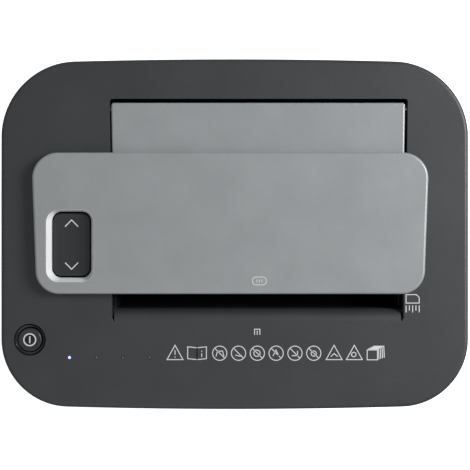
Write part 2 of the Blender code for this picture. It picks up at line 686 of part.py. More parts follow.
# ---------------------------------------------------------------- tray and throat
def build_tray():
    """Tray tub under the lid, with its feed slot and the windows of the two feed rollers."""
    corners = tray_corners()
    widen = 2 * MM
    front = TRAY_FRONT + FIT + TRAY_WALL
    rear = TRAY_FRONT + PAPER_SHORT + TRAY_SPARE
    inner = [(corners[0][0] - widen, front), (corners[1][0] + widen, front),
             (corners[2][0] + widen, rear), (corners[3][0] - widen, rear)]
    outer = inset_corners(inner, -TRAY_WALL)
    tub = prism("tray_well", filleted(outer, [4 * MM] * 4, 3), TRAY_FLOOR - SIDE_PLATE, DECK_UNDER - FIT)
    space = prism("tray_space", filleted(inner, [2 * MM] * 4, 3), TRAY_FLOOR, DECK_TOP)
    slot = box("feed_slot", (PATH_X - MOUTH_HALF, SLOT_FRONT, TRAY_FLOOR - 5 * MM),
               (PATH_X + MOUTH_HALF, SLOT_FRONT + SLOT_WIDTH, TRAY_FLOOR + OVERCUT))
    windows = []
    for side in (-1, 1):
        middle = PATH_X + side * FEED_ROLLER_SPREAD
        windows.append(box(f"roller_window_{side}",
                           (middle - FEED_ROLLER_WIDTH / 2 - 2 * MM, FEED_Y - 13 * MM, TRAY_FLOOR - 5 * MM),
                           (middle + FEED_ROLLER_WIDTH / 2 + 2 * MM, FEED_Y + 13 * MM, TRAY_FLOOR + OVERCUT)))
    cut(tub, space, slot, *windows, hinge_bore())
    place(tub, BLACK_ABS, (PATH_X, TRAY_FRONT, TRAY_FLOOR))


def build_throat():
    """Funnel that leads a hand-fed sheet from the mouth to the rolls."""
    half = MOUTH_HALF - 0.5 * MM
    outlet_front = NIP_Y - 18 * MM
    outlet_rear = NIP_Y - 3 * MM
    places = [(MOUTH_LIP, MOUTH_REAR, DECK_TOP - MOUTH_BLOCK_DEPTH - FIT),
              (MOUTH_LIP + 1 * MM, MOUTH_REAR, TRAY_FLOOR - 5 * MM),
              (outlet_front, outlet_rear, CUTTER_Z + DISC_RADIUS + 10 * MM)]

    def section(index, grow, extra):
        front, rear, z = places[index]
        outline = rectangle((PATH_X - half - grow, front - grow), (PATH_X + half + grow, rear + grow))
        return level(outline, z + extra)

    funnel = loft("throat_guide", [section(2, 2 * MM, 0), section(1, 2 * MM, 0), section(0, 2 * MM, 0)])
    passage = loft("passage", [section(2, 0, -OVERCUT), section(1, 0, 0), section(0, 0, OVERCUT)])
    cut(funnel, passage)
    place(funnel, BLACK_ABS, (PATH_X, MOUTH_REAR, TRAY_FLOOR))


# ---------------------------------------------------------------- lid
def hinge_bore():
    """Cutter for the hinge pins' holes, right across the machine."""
    return cylinder("hinge_bore", (0, HINGE_Y, HINGE_Z), HINGE_PIN_RADIUS + RUNNING_FIT,
                    -WIDTH / 2, WIDTH / 2, "X")


def window_collar_outline(grow):
    """Outside of the collar round the lid's window."""
    wider = 2 * WINDOW_FLARE + 2 * COLLAR_WALL
    size = (ROCKER_SIZE[0] + wider, ROCKER_SIZE[1] + wider)
    return rounded_rectangle((ROCKER_X, ROCKER_Y), size, ROCKER_CORNER + 6 * MM, -grow)


def build_lid_panel():
    """Outer lid: raised panel with its window, rear part and hinge lugs."""
    corners = tray_corners()
    left = corners[3][0] + LID_SIDE_GAP
    right = corners[2][0] - LID_RIGHT_GAP
    panel = rounded_top("lid_panel", panel_outline, PANEL_BOTTOM, PANEL_TOP, 3 * MM)
    hollow = prism("panel_hollow", panel_outline(LID_SKIN), PANEL_BOTTOM - OVERCUT, PANEL_TOP - LID_SKIN)
    cut(panel, hollow)

    def rear_outline(inset):
        rear_corners = [(left + 1 * MM, PANEL_REAR - RISER_SETBACK),
                        (right - 1 * MM, PANEL_REAR - RISER_SETBACK), (right, LID_REAR), (left, LID_REAR)]
        return filleted(inset_corners(rear_corners, inset), [2.5 * MM - inset / 2] * 4, 3)

    rear_top = DECK_TOP + LID_REAR_TOP
    rear_part = rounded_top("lid_rear_part", rear_outline, rear_top - LID_SKIN, rear_top, 1.8 * MM, 2)
    riser = box("lid_riser",
                (left + 2 * MM, PANEL_REAR - RISER_SETBACK + 0.5 * MM, rear_top - LID_SKIN + 0.2 * MM),
                (right - 2 * MM, PANEL_REAR - 3.2 * MM, PANEL_TOP - LID_SKIN + 0.5 * MM))
    collar = prism("window_collar", window_collar_outline(0.0), PANEL_BOTTOM, PANEL_TOP - LID_SKIN + 0.5 * MM)
    lugs = []
    for side, edge in ((1, left), (-1, right - LUG_WIDTH)):
        lug_left = edge + 1.5 * MM if side > 0 else edge - 1.5 * MM
        profile = [(HINGE_Y - LUG_RADIUS, rear_top - 2 * MM)]
        for step in range(9):
            angle = math.pi + math.pi * step / 8
            profile.append((HINGE_Y + LUG_RADIUS * math.cos(angle), HINGE_Z + LUG_RADIUS * math.sin(angle)))
        profile.append((HINGE_Y + LUG_RADIUS, rear_top - 2.5 * MM))
        lugs.append(prism_x(f"lug_{side}", profile, lug_left, lug_left + LUG_WIDTH))
    join(panel, rear_part, riser, collar, *lugs)

    mouth = (ROCKER_SIZE[0] + 2 * ROCKER_GAP + 2 * WINDOW_FLARE,
             ROCKER_SIZE[1] + 2 * ROCKER_END_GAP + 2 * WINDOW_FLARE)
    window_rings = []
    for inset, z in ((WINDOW_FLARE, PANEL_BOTTOM - OVERCUT), (WINDOW_FLARE - 0.3 * MM, PANEL_BOTTOM + 1 * MM),
                     (0.0, PANEL_TOP), (0.0, PANEL_TOP + OVERCUT)):
        outline = rounded_rectangle((ROCKER_X, ROCKER_Y), mouth, ROCKER_CORNER + WINDOW_FLARE, inset)
        window_rings.append(level(outline, z))
    cut(panel, loft("lid_window", window_rings), hinge_bore())
    place(panel, SILVER_ABS, (PATH_X, HINGE_Y, HINGE_Z))


def build_lid_liner():
    """Dark pan under the lid that carries the pressure plate."""
    left = PATH_X - TRAY_HALF + 8 * MM
    right = PATH_X + TRAY_HALF - 8 * MM
    front = TRAY_FRONT + 9 * MM
    rear = HINGE_Y - LUG_RADIUS - 6 * MM
    rear_under = DECK_TOP + LID_REAR_TOP - LID_SKIN - FIT
    flange_bottom = PANEL_BOTTOM + 0.2 * MM
    flange_rear = PANEL_REAR - RISER_SETBACK - FIT
    liner = box("lid_liner", (left, front, LINER_BOTTOM), (right, rear, rear_under))
    neck = box("liner_neck", (left, front, LINER_BOTTOM + 4 * MM),
               (right, flange_rear, flange_bottom + 1 * MM))
    flange = prism("liner_flange", panel_outline(LID_SKIN + FIT), flange_bottom, flange_bottom + 2 * MM)
    join(liner, neck, flange)
    space = box("liner_space", (left + 2.5 * MM, front + 2.5 * MM, LINER_BOTTOM + 2.5 * MM),
                (right - 2.5 * MM, flange_rear - 2.5 * MM, PANEL_TOP))
    rear_space = box("liner_rear_space", (left + 2.5 * MM, flange_rear - 3 * MM, LINER_BOTTOM + 2.5 * MM),
                     (right - 2.5 * MM, rear - 2.5 * MM, rear_under + OVERCUT))
    behind = box("behind_riser", (-WIDTH, flange_rear, rear_under), (WIDTH, PANEL_REAR, PANEL_TOP))
    window = prism("liner_window", window_collar_outline(FIT), flange_bottom - OVERCUT, PANEL_TOP)
    holes = []
    for side in (-1, 1):
        centre = (PATH_X + side * POST_SPREAD, POST_Y, 0)
        holes.append(cylinder(f"post_hole_{side}", centre, POST_RADIUS + RUNNING_FIT,
                              LINER_BOTTOM - OVERCUT, LINER_BOTTOM + 4 * MM, "Z", 12))
    cut(liner, space, rear_space, behind, window, *holes)
    place(liner, BLACK_ABS, (PATH_X, HINGE_Y, HINGE_Z))


def build_pressure_plate():
    """Plate that keeps the pile on the feed rollers, hung on two sprung posts."""
    low = PLATE_TOP - PLATE_THICKNESS
    plate = prism("pressure_plate", rounded_rectangle((PATH_X, POST_Y), PLATE_SIZE, 8 * MM), low, PLATE_TOP)
    posts = []
    for side, name in ((-1, "left"), (1, "right")):
        x = PATH_X + side * POST_SPREAD
        head_bottom = LINER_BOTTOM + 2.5 * MM + FIT
        posts.append(turned(f"post_{name}", [(PLATE_TOP - 1 * MM, POST_RADIUS), (head_bottom, POST_RADIUS),
                                            (head_bottom, POST_RADIUS + 2 * MM),
                                            (head_bottom + 2 * MM, POST_RADIUS + 2 * MM)],
                            (x, POST_Y, 0), "Z", 12))
        spring = coil(f"pressure_spring_{name}", (x, POST_Y), POST_RADIUS + 2.5 * MM, 0.7 * MM, 4,
                      PLATE_TOP + FIT, LINER_BOTTOM - FIT)
        place(spring, STEEL, (x, POST_Y, LINER_BOTTOM))
    join(plate, *posts)
    place(plate, BLACK_ABS, (PATH_X, POST_Y, PLATE_TOP))


def build_hinge_pins():
    """Steel pins through the tray walls into the lid's lugs."""
    corners = tray_corners()
    pin_centre = (0, HINGE_Y, HINGE_Z)
    head = DECK_UNDER - FIT - HINGE_Z
    reach = 2 * MM + TRAY_WALL
    left_wall = corners[3][0] - reach
    right_wall = corners[2][0] + reach
    left = turned("lid_hinge_pin_left", [(left_wall - 2.5 * MM, head), (left_wall - 0.8 * MM, head),
                                         (left_wall - 0.8 * MM, HINGE_PIN_RADIUS),
                                         (corners[3][0] + 9 * MM, HINGE_PIN_RADIUS)], pin_centre, "X")
    place(left, STEEL, (left_wall, HINGE_Y, HINGE_Z))
    right = turned("lid_hinge_pin_right", [(corners[2][0] - 10 * MM, HINGE_PIN_RADIUS),
                                           (right_wall + 0.8 * MM, HINGE_PIN_RADIUS),
                                           (right_wall + 0.8 * MM, head), (right_wall + 2.5 * MM, head)],
                   pin_centre, "X")
    place(right, STEEL, (right_wall, HINGE_Y, HINGE_Z))


# ---------------------------------------------------------------- cutter unit
def disc_places(count):
    """Middles of a roll's discs along X."""
    return [PATH_X + (index - (count - 1) / 2) * DISC_PITCH for index in range(count)]


def front_disc_count():
    """Discs of the front roll; the rear roll has one more, and they fit between the plates."""
    room = RIGHT_PLATE - LEFT_PLATE - 2 * ROLL_SHOULDER - DISC_WIDTH
    return int(room // DISC_PITCH)


def build_roll(name, y, count, left_end):
    """Cutter roll: journals, core and discs turned from one bar."""
    right_end = RIGHT_PLATE + SIDE_PLATE + 4 * MM
    shoulder = ROLL_SHOULDER
    profile = [(left_end, JOURNAL_RADIUS), (LEFT_PLATE + shoulder, JOURNAL_RADIUS),
               (LEFT_PLATE + shoulder, CORE_RADIUS)]
    for middle in disc_places(count):
        profile += [(middle - DISC_WIDTH / 2, CORE_RADIUS), (middle - DISC_WIDTH / 2, DISC_RADIUS),
                    (middle + DISC_WIDTH / 2, DISC_RADIUS), (middle + DISC_WIDTH / 2, CORE_RADIUS)]
    profile += [(RIGHT_PLATE - shoulder, CORE_RADIUS), (RIGHT_PLATE - shoulder, JOURNAL_RADIUS),
                (right_end, JOURNAL_RADIUS)]
    roll = turned(name, profile, (0, y, CUTTER_Z), "X", 12)
    place(roll, STEEL, (PATH_X, y, CUTTER_Z))


def build_comb(name, roll_y, side, count):
    """Stripper comb: a bar with a finger in each gap of its roll; side is -1 in front, 1 behind."""
    finger_half = (DISC_PITCH - DISC_WIDTH) / 2 - 1 * MM
    bar_near = roll_y + side * (DISC_RADIUS + 4 * MM)
    bar_far = bar_near + side * 12 * MM
    tip = roll_y + side * (CORE_RADIUS + 1.2 * MM)
    left = LEFT_PLATE + FIT
    right = RIGHT_PLATE - FIT
    outline = [(left, bar_far), (left, bar_near)]
    for middle in disc_places(count):
        outline += [(middle - finger_half, bar_near), (middle - finger_half, tip),
                    (middle + finger_half, tip), (middle + finger_half, bar_near)]
    outline += [(right, bar_near), (right, bar_far)]
    comb = prism(name, outline, CUTTER_Z - 6 * MM, CUTTER_Z + 6 * MM)
    place(comb, NYLON, (PATH_X, bar_near, CUTTER_Z))


def rod_places():
    """The two tie rods, by name, as (y, z)."""
    z = CUTTER_Z - 36 * MM
    return {"front": (FRONT_ROLL_Y - 42 * MM, z), "rear": (REAR_ROLL_Y + 72 * MM, z)}


def build_side_plate(name, inner, side):
    """Steel plate that carries the rolls, the feed shaft and the tie rods; side is -1 left, 1 right."""
    outer = inner + side * SIDE_PLATE
    low, high = min(inner, outer), max(inner, outer)
    top = TRAY_FLOOR - SIDE_PLATE - 1.5 * MM
    rods = rod_places()
    front = rods["front"][0] - 10 * MM
    rear = rods["rear"][0] + 8 * MM
    shoulder = CUTTER_Z + 26 * MM
    foot = HEAD_BASE_TOP + FIT
    profile = [(front, foot), (rear, foot), (rear, FEED_Z - 22 * MM), (FEED_Y + 12 * MM, top),
               (FEED_Y - 20 * MM, top), (REAR_ROLL_Y - 10 * MM, shoulder), (front, shoulder)]
    plate = prism_x(name, profile, low, high)
    holes = []
    for y in (FRONT_ROLL_Y, REAR_ROLL_Y):
        holes.append(cylinder(f"bearing_hole_{y}", (0, y, CUTTER_Z), BEARING_RADIUS + FIT,
                              low - OVERCUT, high + OVERCUT, "X"))
    holes.append(cylinder("feed_hole", (0, FEED_Y, FEED_Z), FEED_SHAFT_RADIUS + RUNNING_FIT,
                          low - OVERCUT, high + OVERCUT, "X"))
    for y, z in rods.values():
        holes.append(cylinder(f"rod_hole_{y}", (0, y, z), TIE_ROD_RADIUS + RUNNING_FIT,
                              low - OVERCUT, high + OVERCUT, "X"))
    cut(plate, *holes)
    if side < 0:
        stub = cylinder("idler_stub", (0, IDLER_Y, IDLER_Z), FEED_SHAFT_RADIUS,
                        GEAR_LEFT - 2 * MM, high - 1 * MM, "X")
        join(plate, stub)
    place(plate, ZINC, (inner, NIP_Y, CUTTER_Z))


def build_bearing(name, y, inner, side):
    """Flanged bush pressed into a side plate."""
    plate_outer = inner + side * (SIDE_PLATE + FIT)
    flange_outer = plate_outer + side * 2.5 * MM
    bore = JOURNAL_RADIUS + RUNNING_FIT
    profile = [(inner, bore), (flange_outer, bore), (flange_outer, BEARING_RADIUS + 2 * MM),
               (plate_outer, BEARING_RADIUS + 2 * MM), (plate_outer, BEARING_RADIUS), (inner, BEARING_RADIUS)]
    bearing = turned(name, profile, (0, y, CUTTER_Z), "X", 12, bored=True)
    place(bearing, NYLON, (inner, y, CUTTER_Z))


def build_cutter_unit():
    """Side plates, tie rods, rolls, bearings and combs."""
    build_side_plate("side_plate_left", LEFT_PLATE, -1)
    build_side_plate("side_plate_right", RIGHT_PLATE, 1)
    for name, (y, z) in rod_places().items():
        rod = cylinder(f"tie_rod_{name}", (0, y, z), TIE_ROD_RADIUS, LEFT_PLATE - SIDE_PLATE - 4 * MM,
                       RIGHT_PLATE + SIDE_PLATE + 4 * MM, "X", 12)
        place(rod, ZINC, (PATH_X, y, z))
    count = front_disc_count()
    build_roll("cutter_roll_front", FRONT_ROLL_Y, count, DRIVE_LEFT - 1.2 * MM)
    build_roll("cutter_roll_rear", REAR_ROLL_Y, count + 1, GEAR_LEFT - 1.5 * MM)
    build_comb("stripper_comb_front", FRONT_ROLL_Y, -1, count + 1)
    build_comb("stripper_comb_rear", REAR_ROLL_Y, 1, count)
    for row, y in (("front", FRONT_ROLL_Y), ("rear", REAR_ROLL_Y)):
        build_bearing(f"bearing_{row}_left", y, LEFT_PLATE, -1)
        build_bearing(f"bearing_{row}_right", y, RIGHT_PLATE, 1)


def build_feed_rollers():
    """Shaft and the two rubber rollers that pull the lowest sheets off the pile."""
    axis = (0, FEED_Y, FEED_Z)
    shaft = cylinder("feed_shaft", axis, FEED_SHAFT_RADIUS, GEAR_LEFT - 1.5 * MM,
                     RIGHT_PLATE + SIDE_PLATE + 4 * MM, "X", 12)
    place(shaft, STEEL, (PATH_X, FEED_Y, FEED_Z))
    for side, name in ((-1, "left"), (1, "right")):
        middle = PATH_X + side * FEED_ROLLER_SPREAD
        bore = FEED_SHAFT_RADIUS + RUNNING_FIT
        half = FEED_ROLLER_WIDTH / 2
        profile = [(middle - half, bore), (middle + half, bore), (middle + half, FEED_ROLLER_RADIUS),
                   (middle - half, FEED_ROLLER_RADIUS)]
        roller = turned(f"feed_roller_{name}", profile, axis, "X", 24, bored=True)
        place(roller, RUBBER, (middle, FEED_Y, FEED_Z))


def build_drive():
    """Motor, gear train and gear cover on the left of the cutter unit."""
    roll_phase = 0.0
    rear_phase = meshing_phase(roll_phase, ROLL_TEETH, ROLL_TEETH, 0.0)
    idler_phase = meshing_phase(rear_phase, ROLL_TEETH, IDLER_TEETH, TRAIN_ANGLE)
    feed_phase = meshing_phase(idler_phase, IDLER_TEETH, FEED_TEETH, TRAIN_ANGLE)
    pinion_phase = meshing_phase(roll_phase, DRIVE_TEETH, PINION_TEETH, 0.0)
    journal_bore = JOURNAL_RADIUS + RUNNING_FIT
    stub_bore = FEED_SHAFT_RADIUS + RUNNING_FIT
    front = (FRONT_ROLL_Y, CUTTER_Z)
    rear = (REAR_ROLL_Y, CUTTER_Z)
    train = (
        ("cutter_gear_front", ROLL_TEETH, MODULE, front, roll_phase, GEAR_LEFT, journal_bore, STEEL),
        ("cutter_gear_rear", ROLL_TEETH, MODULE, rear, rear_phase, GEAR_LEFT, journal_bore, STEEL),
        ("idler_gear", IDLER_TEETH, MODULE, (IDLER_Y, IDLER_Z), idler_phase, GEAR_LEFT, stub_bore, NYLON),
        ("feed_gear", FEED_TEETH, MODULE, (FEED_Y, FEED_Z), feed_phase, GEAR_LEFT, stub_bore, NYLON),
        ("drive_gear", DRIVE_TEETH, DRIVE_MODULE, front, roll_phase, DRIVE_LEFT, journal_bore, NYLON),
    )
    for name, teeth, module, centre, phase, left, bore, finish in train:
        piece = gear(name, teeth, module, centre, phase, left, left + GEAR_WIDTH, bore)
        place(piece, finish, (left, centre[0], centre[1]))

    motor_axis = (0, MOTOR_Y, CUTTER_Z)
    face = COVER_OUTSIDE - FIT
    pinion = gear("motor_pinion", PINION_TEETH, DRIVE_MODULE, (MOTOR_Y, CUTTER_Z), pinion_phase,
                  DRIVE_LEFT, DRIVE_RIGHT, 0)
    shaft = cylinder("pinion_shaft", motor_axis, MOTOR_SHAFT, face - 12 * MM, DRIVE_LEFT + 1 * MM, "X", 12)
    join(pinion, shaft)
    place(pinion, STEEL, (DRIVE_LEFT, MOTOR_Y, CUTTER_Z))

    back = face - MOTOR_LENGTH
    can = [(back, MOTOR_RADIUS - 10 * MM), (back + 4 * MM, MOTOR_RADIUS - 2 * MM),
           (back + 8 * MM, MOTOR_RADIUS), (face - 8 * MM, MOTOR_RADIUS),
           (face - 4 * MM, MOTOR_RADIUS - 4 * MM),
           (face - 4 * MM, MOTOR_NOSE), (face, MOTOR_NOSE)]
    motor = turned("motor", can, motor_axis, "X", 24)
    shaft_hole = cylinder("shaft_hole", motor_axis, MOTOR_SHAFT + RUNNING_FIT, face - 12.5 * MM,
                          face + OVERCUT, "X", 12)
    cut(motor, shaft_hole)
    place(motor, ZINC, (face, MOTOR_Y, CUTTER_Z))
    build_gear_cover()


def build_gear_cover():
    """Box over the gears, open towards the left side plate."""
    drive_tip = DRIVE_MODULE * (DRIVE_TEETH / 2 + 1) + 2 * MM
    feed_tip = MODULE * (FEED_TEETH / 2 + 1) + 2 * MM
    front = FRONT_ROLL_Y - drive_tip
    rear = max(FEED_Y + feed_tip, IDLER_Y + MODULE * (IDLER_TEETH / 2 + 1) + 2 * MM)
    low = CUTTER_Z - drive_tip
    high = FEED_Z + feed_tip
    right = LEFT_PLATE - SIDE_PLATE - FIT
    rod_front = rod_places()["front"][0]
    cover = box("gear_cover", (COVER_OUTSIDE, front - TRAY_WALL, low - TRAY_WALL),
                (right, rear + TRAY_WALL, high + TRAY_WALL))
    space = box("gear_space", (COVER_INSIDE, front, low), (right + OVERCUT, rear, high))
    shaft_hole = cylinder("cover_hole", (0, MOTOR_Y, CUTTER_Z), 2 * MOTOR_SHAFT, COVER_OUTSIDE - OVERCUT,
                          COVER_INSIDE + OVERCUT, "X")
    notch_low = (LEFT_PLATE - SIDE_PLATE - 5 * MM, rod_front - 6 * MM, low - TRAY_WALL - OVERCUT)
    notch_high = (right + OVERCUT, rod_front + 6 * MM, rod_places()["front"][1] + 6 * MM)
    rod_notch = box("rod_notch", notch_low, notch_high)
    cut(cover, space, shaft_hole, rod_notch)
    place(cover, BLACK_ABS, (COVER_OUTSIDE, NIP_Y, CUTTER_Z))


# ---------------------------------------------------------------- cabinet
def wall_ring(name, low, high):
    """Upright wall that follows the machine's outline."""
    ring = prism(name, body_outline(CABINET_INSET), low, high)
    inside = prism(name + "_inside", body_outline(CABINET_INSET + WALL), low - OVERCUT, high + OVERCUT)
    return cut(ring, inside)


def build_cabinet():
    """Base board, three-sided shell, back panel with its inlet, and the shelf under the head."""
    board = prism("base_board", body_outline(CABINET_INSET), BOARD_BOTTOM, BOARD_TOP)
    for side in (-1, 1):
        divide_faces(board, side * (CASTOR_X - 2 * CASTOR_RADIUS))
    holes = []
    for x, y in castor_places().values():
        holes.append(cylinder(f"stem_hole_{x}_{y}", (x, y, 0), STEM_RADIUS + RUNNING_FIT,
                              BOARD_BOTTOM - OVERCUT, BOARD_BOTTOM + STEM_LENGTH + FIT, "Z"))
    cut(board, *holes)
    place(board, CHIPBOARD, (0, 0, BOARD_BOTTOM))

    opening_half = WIDTH / 2 - 90 * MM
    opening_low = CABINET_BOTTOM + 36 * MM
    opening_high = CABINET_TOP - 28 * MM
    shell = wall_ring("cabinet_shell", CABINET_BOTTOM, CABINET_TOP)
    front_gap = box("front_gap", (-WIDTH, -DEPTH, 0), (WIDTH, BIN_SPLIT, DECK_TOP))
    rear_gap = box("rear_gap", (-opening_half, 0, opening_low), (opening_half, DEPTH, opening_high))
    cut(shell, front_gap, rear_gap)
    place(shell, DARK_ABS, (0, 0, CABINET_BOTTOM))

    edge_swell = 1 + CROWN / (DEPTH / 2 - CROWN) * (1 - (2 * (opening_half + 10 * MM) / WIDTH) ** 2)
    rear_face = (DEPTH / 2 - CROWN - CABINET_INSET - WALL) * edge_swell - FIT
    panel = box("back_panel", (-opening_half - 10 * MM, rear_face - WALL, opening_low - 10 * MM),
                (opening_half + 10 * MM, rear_face, opening_high + 10 * MM))
    slots = []
    for index in range(7):
        z = opening_high - 24 * MM - index * 12 * MM
        slots.append(box(f"back_vent_{index}", (-60 * MM, rear_face - WALL - OVERCUT, z - 2 * MM),
                         (60 * MM, rear_face + OVERCUT, z + 2 * MM)))
    inlet_x = -opening_half + 38 * MM
    inlet_z = opening_low + 34 * MM
    slots.append(box("inlet_hole",
                     (inlet_x - INLET_HOLE[0] / 2, rear_face - WALL - OVERCUT, inlet_z - INLET_HOLE[1] / 2),
                     (inlet_x + INLET_HOLE[0] / 2, rear_face + OVERCUT, inlet_z + INLET_HOLE[1] / 2)))
    cut(panel, *slots)
    place(panel, DARK_ABS, (0, rear_face, opening_low))
    build_inlet(inlet_x, rear_face + FIT, inlet_z)

    shelf = prism("head_base", body_outline(0.5 * MM), HEAD_BASE_BOTTOM, HEAD_BASE_TOP)
    drop = box("shred_drop",
               (LEFT_PLATE + 12 * MM, FRONT_ROLL_Y - DISC_RADIUS - 4 * MM, HEAD_BASE_BOTTOM - OVERCUT),
               (RIGHT_PLATE - 12 * MM, REAR_ROLL_Y + DISC_RADIUS + 4 * MM, HEAD_BASE_TOP + OVERCUT))
    cut(shelf, drop)
    place(shelf, BLACK_ABS, (0, 0, HEAD_BASE_BOTTOM))

    rail_x = CASTOR_X
    for side, name in ((-1, "left"), (1, "right")):
        rail = box(f"slide_rail_{name}", (side * rail_x - 8 * MM, BIN_SPLIT + 8 * MM, CABINET_BOTTOM),
                   (side * rail_x + 8 * MM, DEPTH / 2 - 50 * MM, CABINET_BOTTOM + RAIL_HEIGHT))
        place(rail, NYLON, (side * rail_x, 0, CABINET_BOTTOM))


def build_inlet(x, face, z):
    """Appliance inlet with three contact blades."""
    half_x = INLET_HOLE[0] / 2 - FIT
    half_z = INLET_HOLE[1] / 2 - FIT
    inlet = box("power_inlet", (x - half_x, face - 22 * MM, z - half_z),
                (x + half_x, face + 1 * MM, z + half_z))
    flange = box("inlet_flange", (x - 19 * MM, face, z - 14 * MM), (x + 19 * MM, face + 2 * MM, z + 14 * MM))
    join(inlet, flange)
    recess = box("inlet_recess", (x - 12 * MM, face - 14 * MM, z - 8 * MM),
                 (x + 12 * MM, face + 3 * MM, z + 8 * MM))
    cut(inlet, recess)
    blades = []
    for shift, rise in ((-7, -1.5), (0, 2), (7, -1.5)):
        blades.append(box(f"blade_{shift}", (x + (shift - 1) * MM, face - 15 * MM, z + (rise - 2) * MM),
                          (x + (shift + 1) * MM, face - 3 * MM, z + (rise + 2) * MM)))
    join(inlet, *blades)
    place(inlet, BLACK_ABS, (x, face, z))


# ---------------------------------------------------------------- bin
def build_bin():
    """Pull-out bin: tub, fascia that wraps the front corners, sight window and grip."""
    tub = prism("bin_tub", tub_outline(0.0), BIN_BOTTOM, BIN_TOP)
    space = prism("tub_space", tub_outline(BIN_WALL), BIN_BOTTOM + BIN_WALL, BIN_TOP + OVERCUT)
    pane_half = WINDOW_SIZE[0] / 2 + 10 * MM
    pane_low = BOARD_TOP + WINDOW_BOTTOM - 10 * MM
    pane_high = pane_low + WINDOW_SIZE[1] + 20 * MM
    window_low = pane_low + 10 * MM
    window_high = pane_high - 10 * MM
    grip_half = HANDLE_SIZE[0] / 2
    grip_high = CABINET_TOP - HANDLE_BELOW_TOP
    grip_low = grip_high - HANDLE_SIZE[1]
    middle = FRONT + 40 * MM
    pane_hole = box("pane_hole", (-pane_half, -DEPTH, pane_low), (pane_half, middle, pane_high))
    grip_hole = box("tub_grip_hole", (-grip_half - 3 * MM, -DEPTH, grip_low - 3 * MM),
                    (grip_half + 3 * MM, middle, BIN_TOP + OVERCUT))
    cut(tub, space, pane_hole, grip_hole)
    place(tub, BLACK_ABS, (0, 0, BIN_BOTTOM))

    pane = prism("bin_window", tub_outline(0.0), pane_low + FIT, pane_high - FIT)
    pane_back = prism("pane_back", tub_outline(BIN_WALL - 0.3 * MM), pane_low - OVERCUT, pane_high + OVERCUT)
    cut(pane, pane_back)
    keep(pane, box("pane_limits", (-pane_half + FIT, -DEPTH, pane_low), (pane_half - FIT, middle, pane_high)))
    place(pane, SMOKED_PLASTIC, (0, FRONT, pane_low))

    fascia = wall_ring("bin_front", CABINET_BOTTOM + 2 * MM, CABINET_TOP - 2.5 * MM)
    behind = box("behind_fascia", (-WIDTH, BIN_SPLIT - SHADOW_GAP, 0), (WIDTH, DEPTH, DECK_TOP))
    window_outline = rounded_rectangle((0, (window_low + window_high) / 2), WINDOW_SIZE, 12 * MM)
    window_hole = loft("window_hole", [[(x, -DEPTH, z) for x, z in window_outline],
                                       [(x, middle, z) for x, z in window_outline]])
    grip_opening = box("grip_opening", (-grip_half, -DEPTH, grip_low), (grip_half, middle, grip_high))
    cut(fascia, behind, window_hole, grip_opening)
    place(fascia, DARK_ABS, (0, FRONT, CABINET_BOTTOM))

    lip = FRONT + CABINET_INSET + 1.2 * MM
    grip = box("bin_handle", (-grip_half + FIT, lip, grip_low + FIT),
               (grip_half - FIT, lip + HANDLE_DEPTH, grip_high - FIT))
    finger_space = box("finger_space", (-grip_half + 2.3 * MM, lip - OVERCUT, grip_low + 2.3 * MM),
                       (grip_half - 2.3 * MM, lip + HANDLE_DEPTH - 2 * MM, grip_high - 2.3 * MM))
    cut(grip, finger_space)
    place(grip, BLACK_ABS, (0, lip, grip_low))


# ---------------------------------------------------------------- castors
def castor_places():
    """Stem positions of the castors by name."""
    return {"front_left": (-CASTOR_X, -CASTOR_Y), "front_right": (CASTOR_X, -CASTOR_Y),
            "rear_left": (-CASTOR_X, CASTOR_Y), "rear_right": (CASTOR_X, CASTOR_Y)}


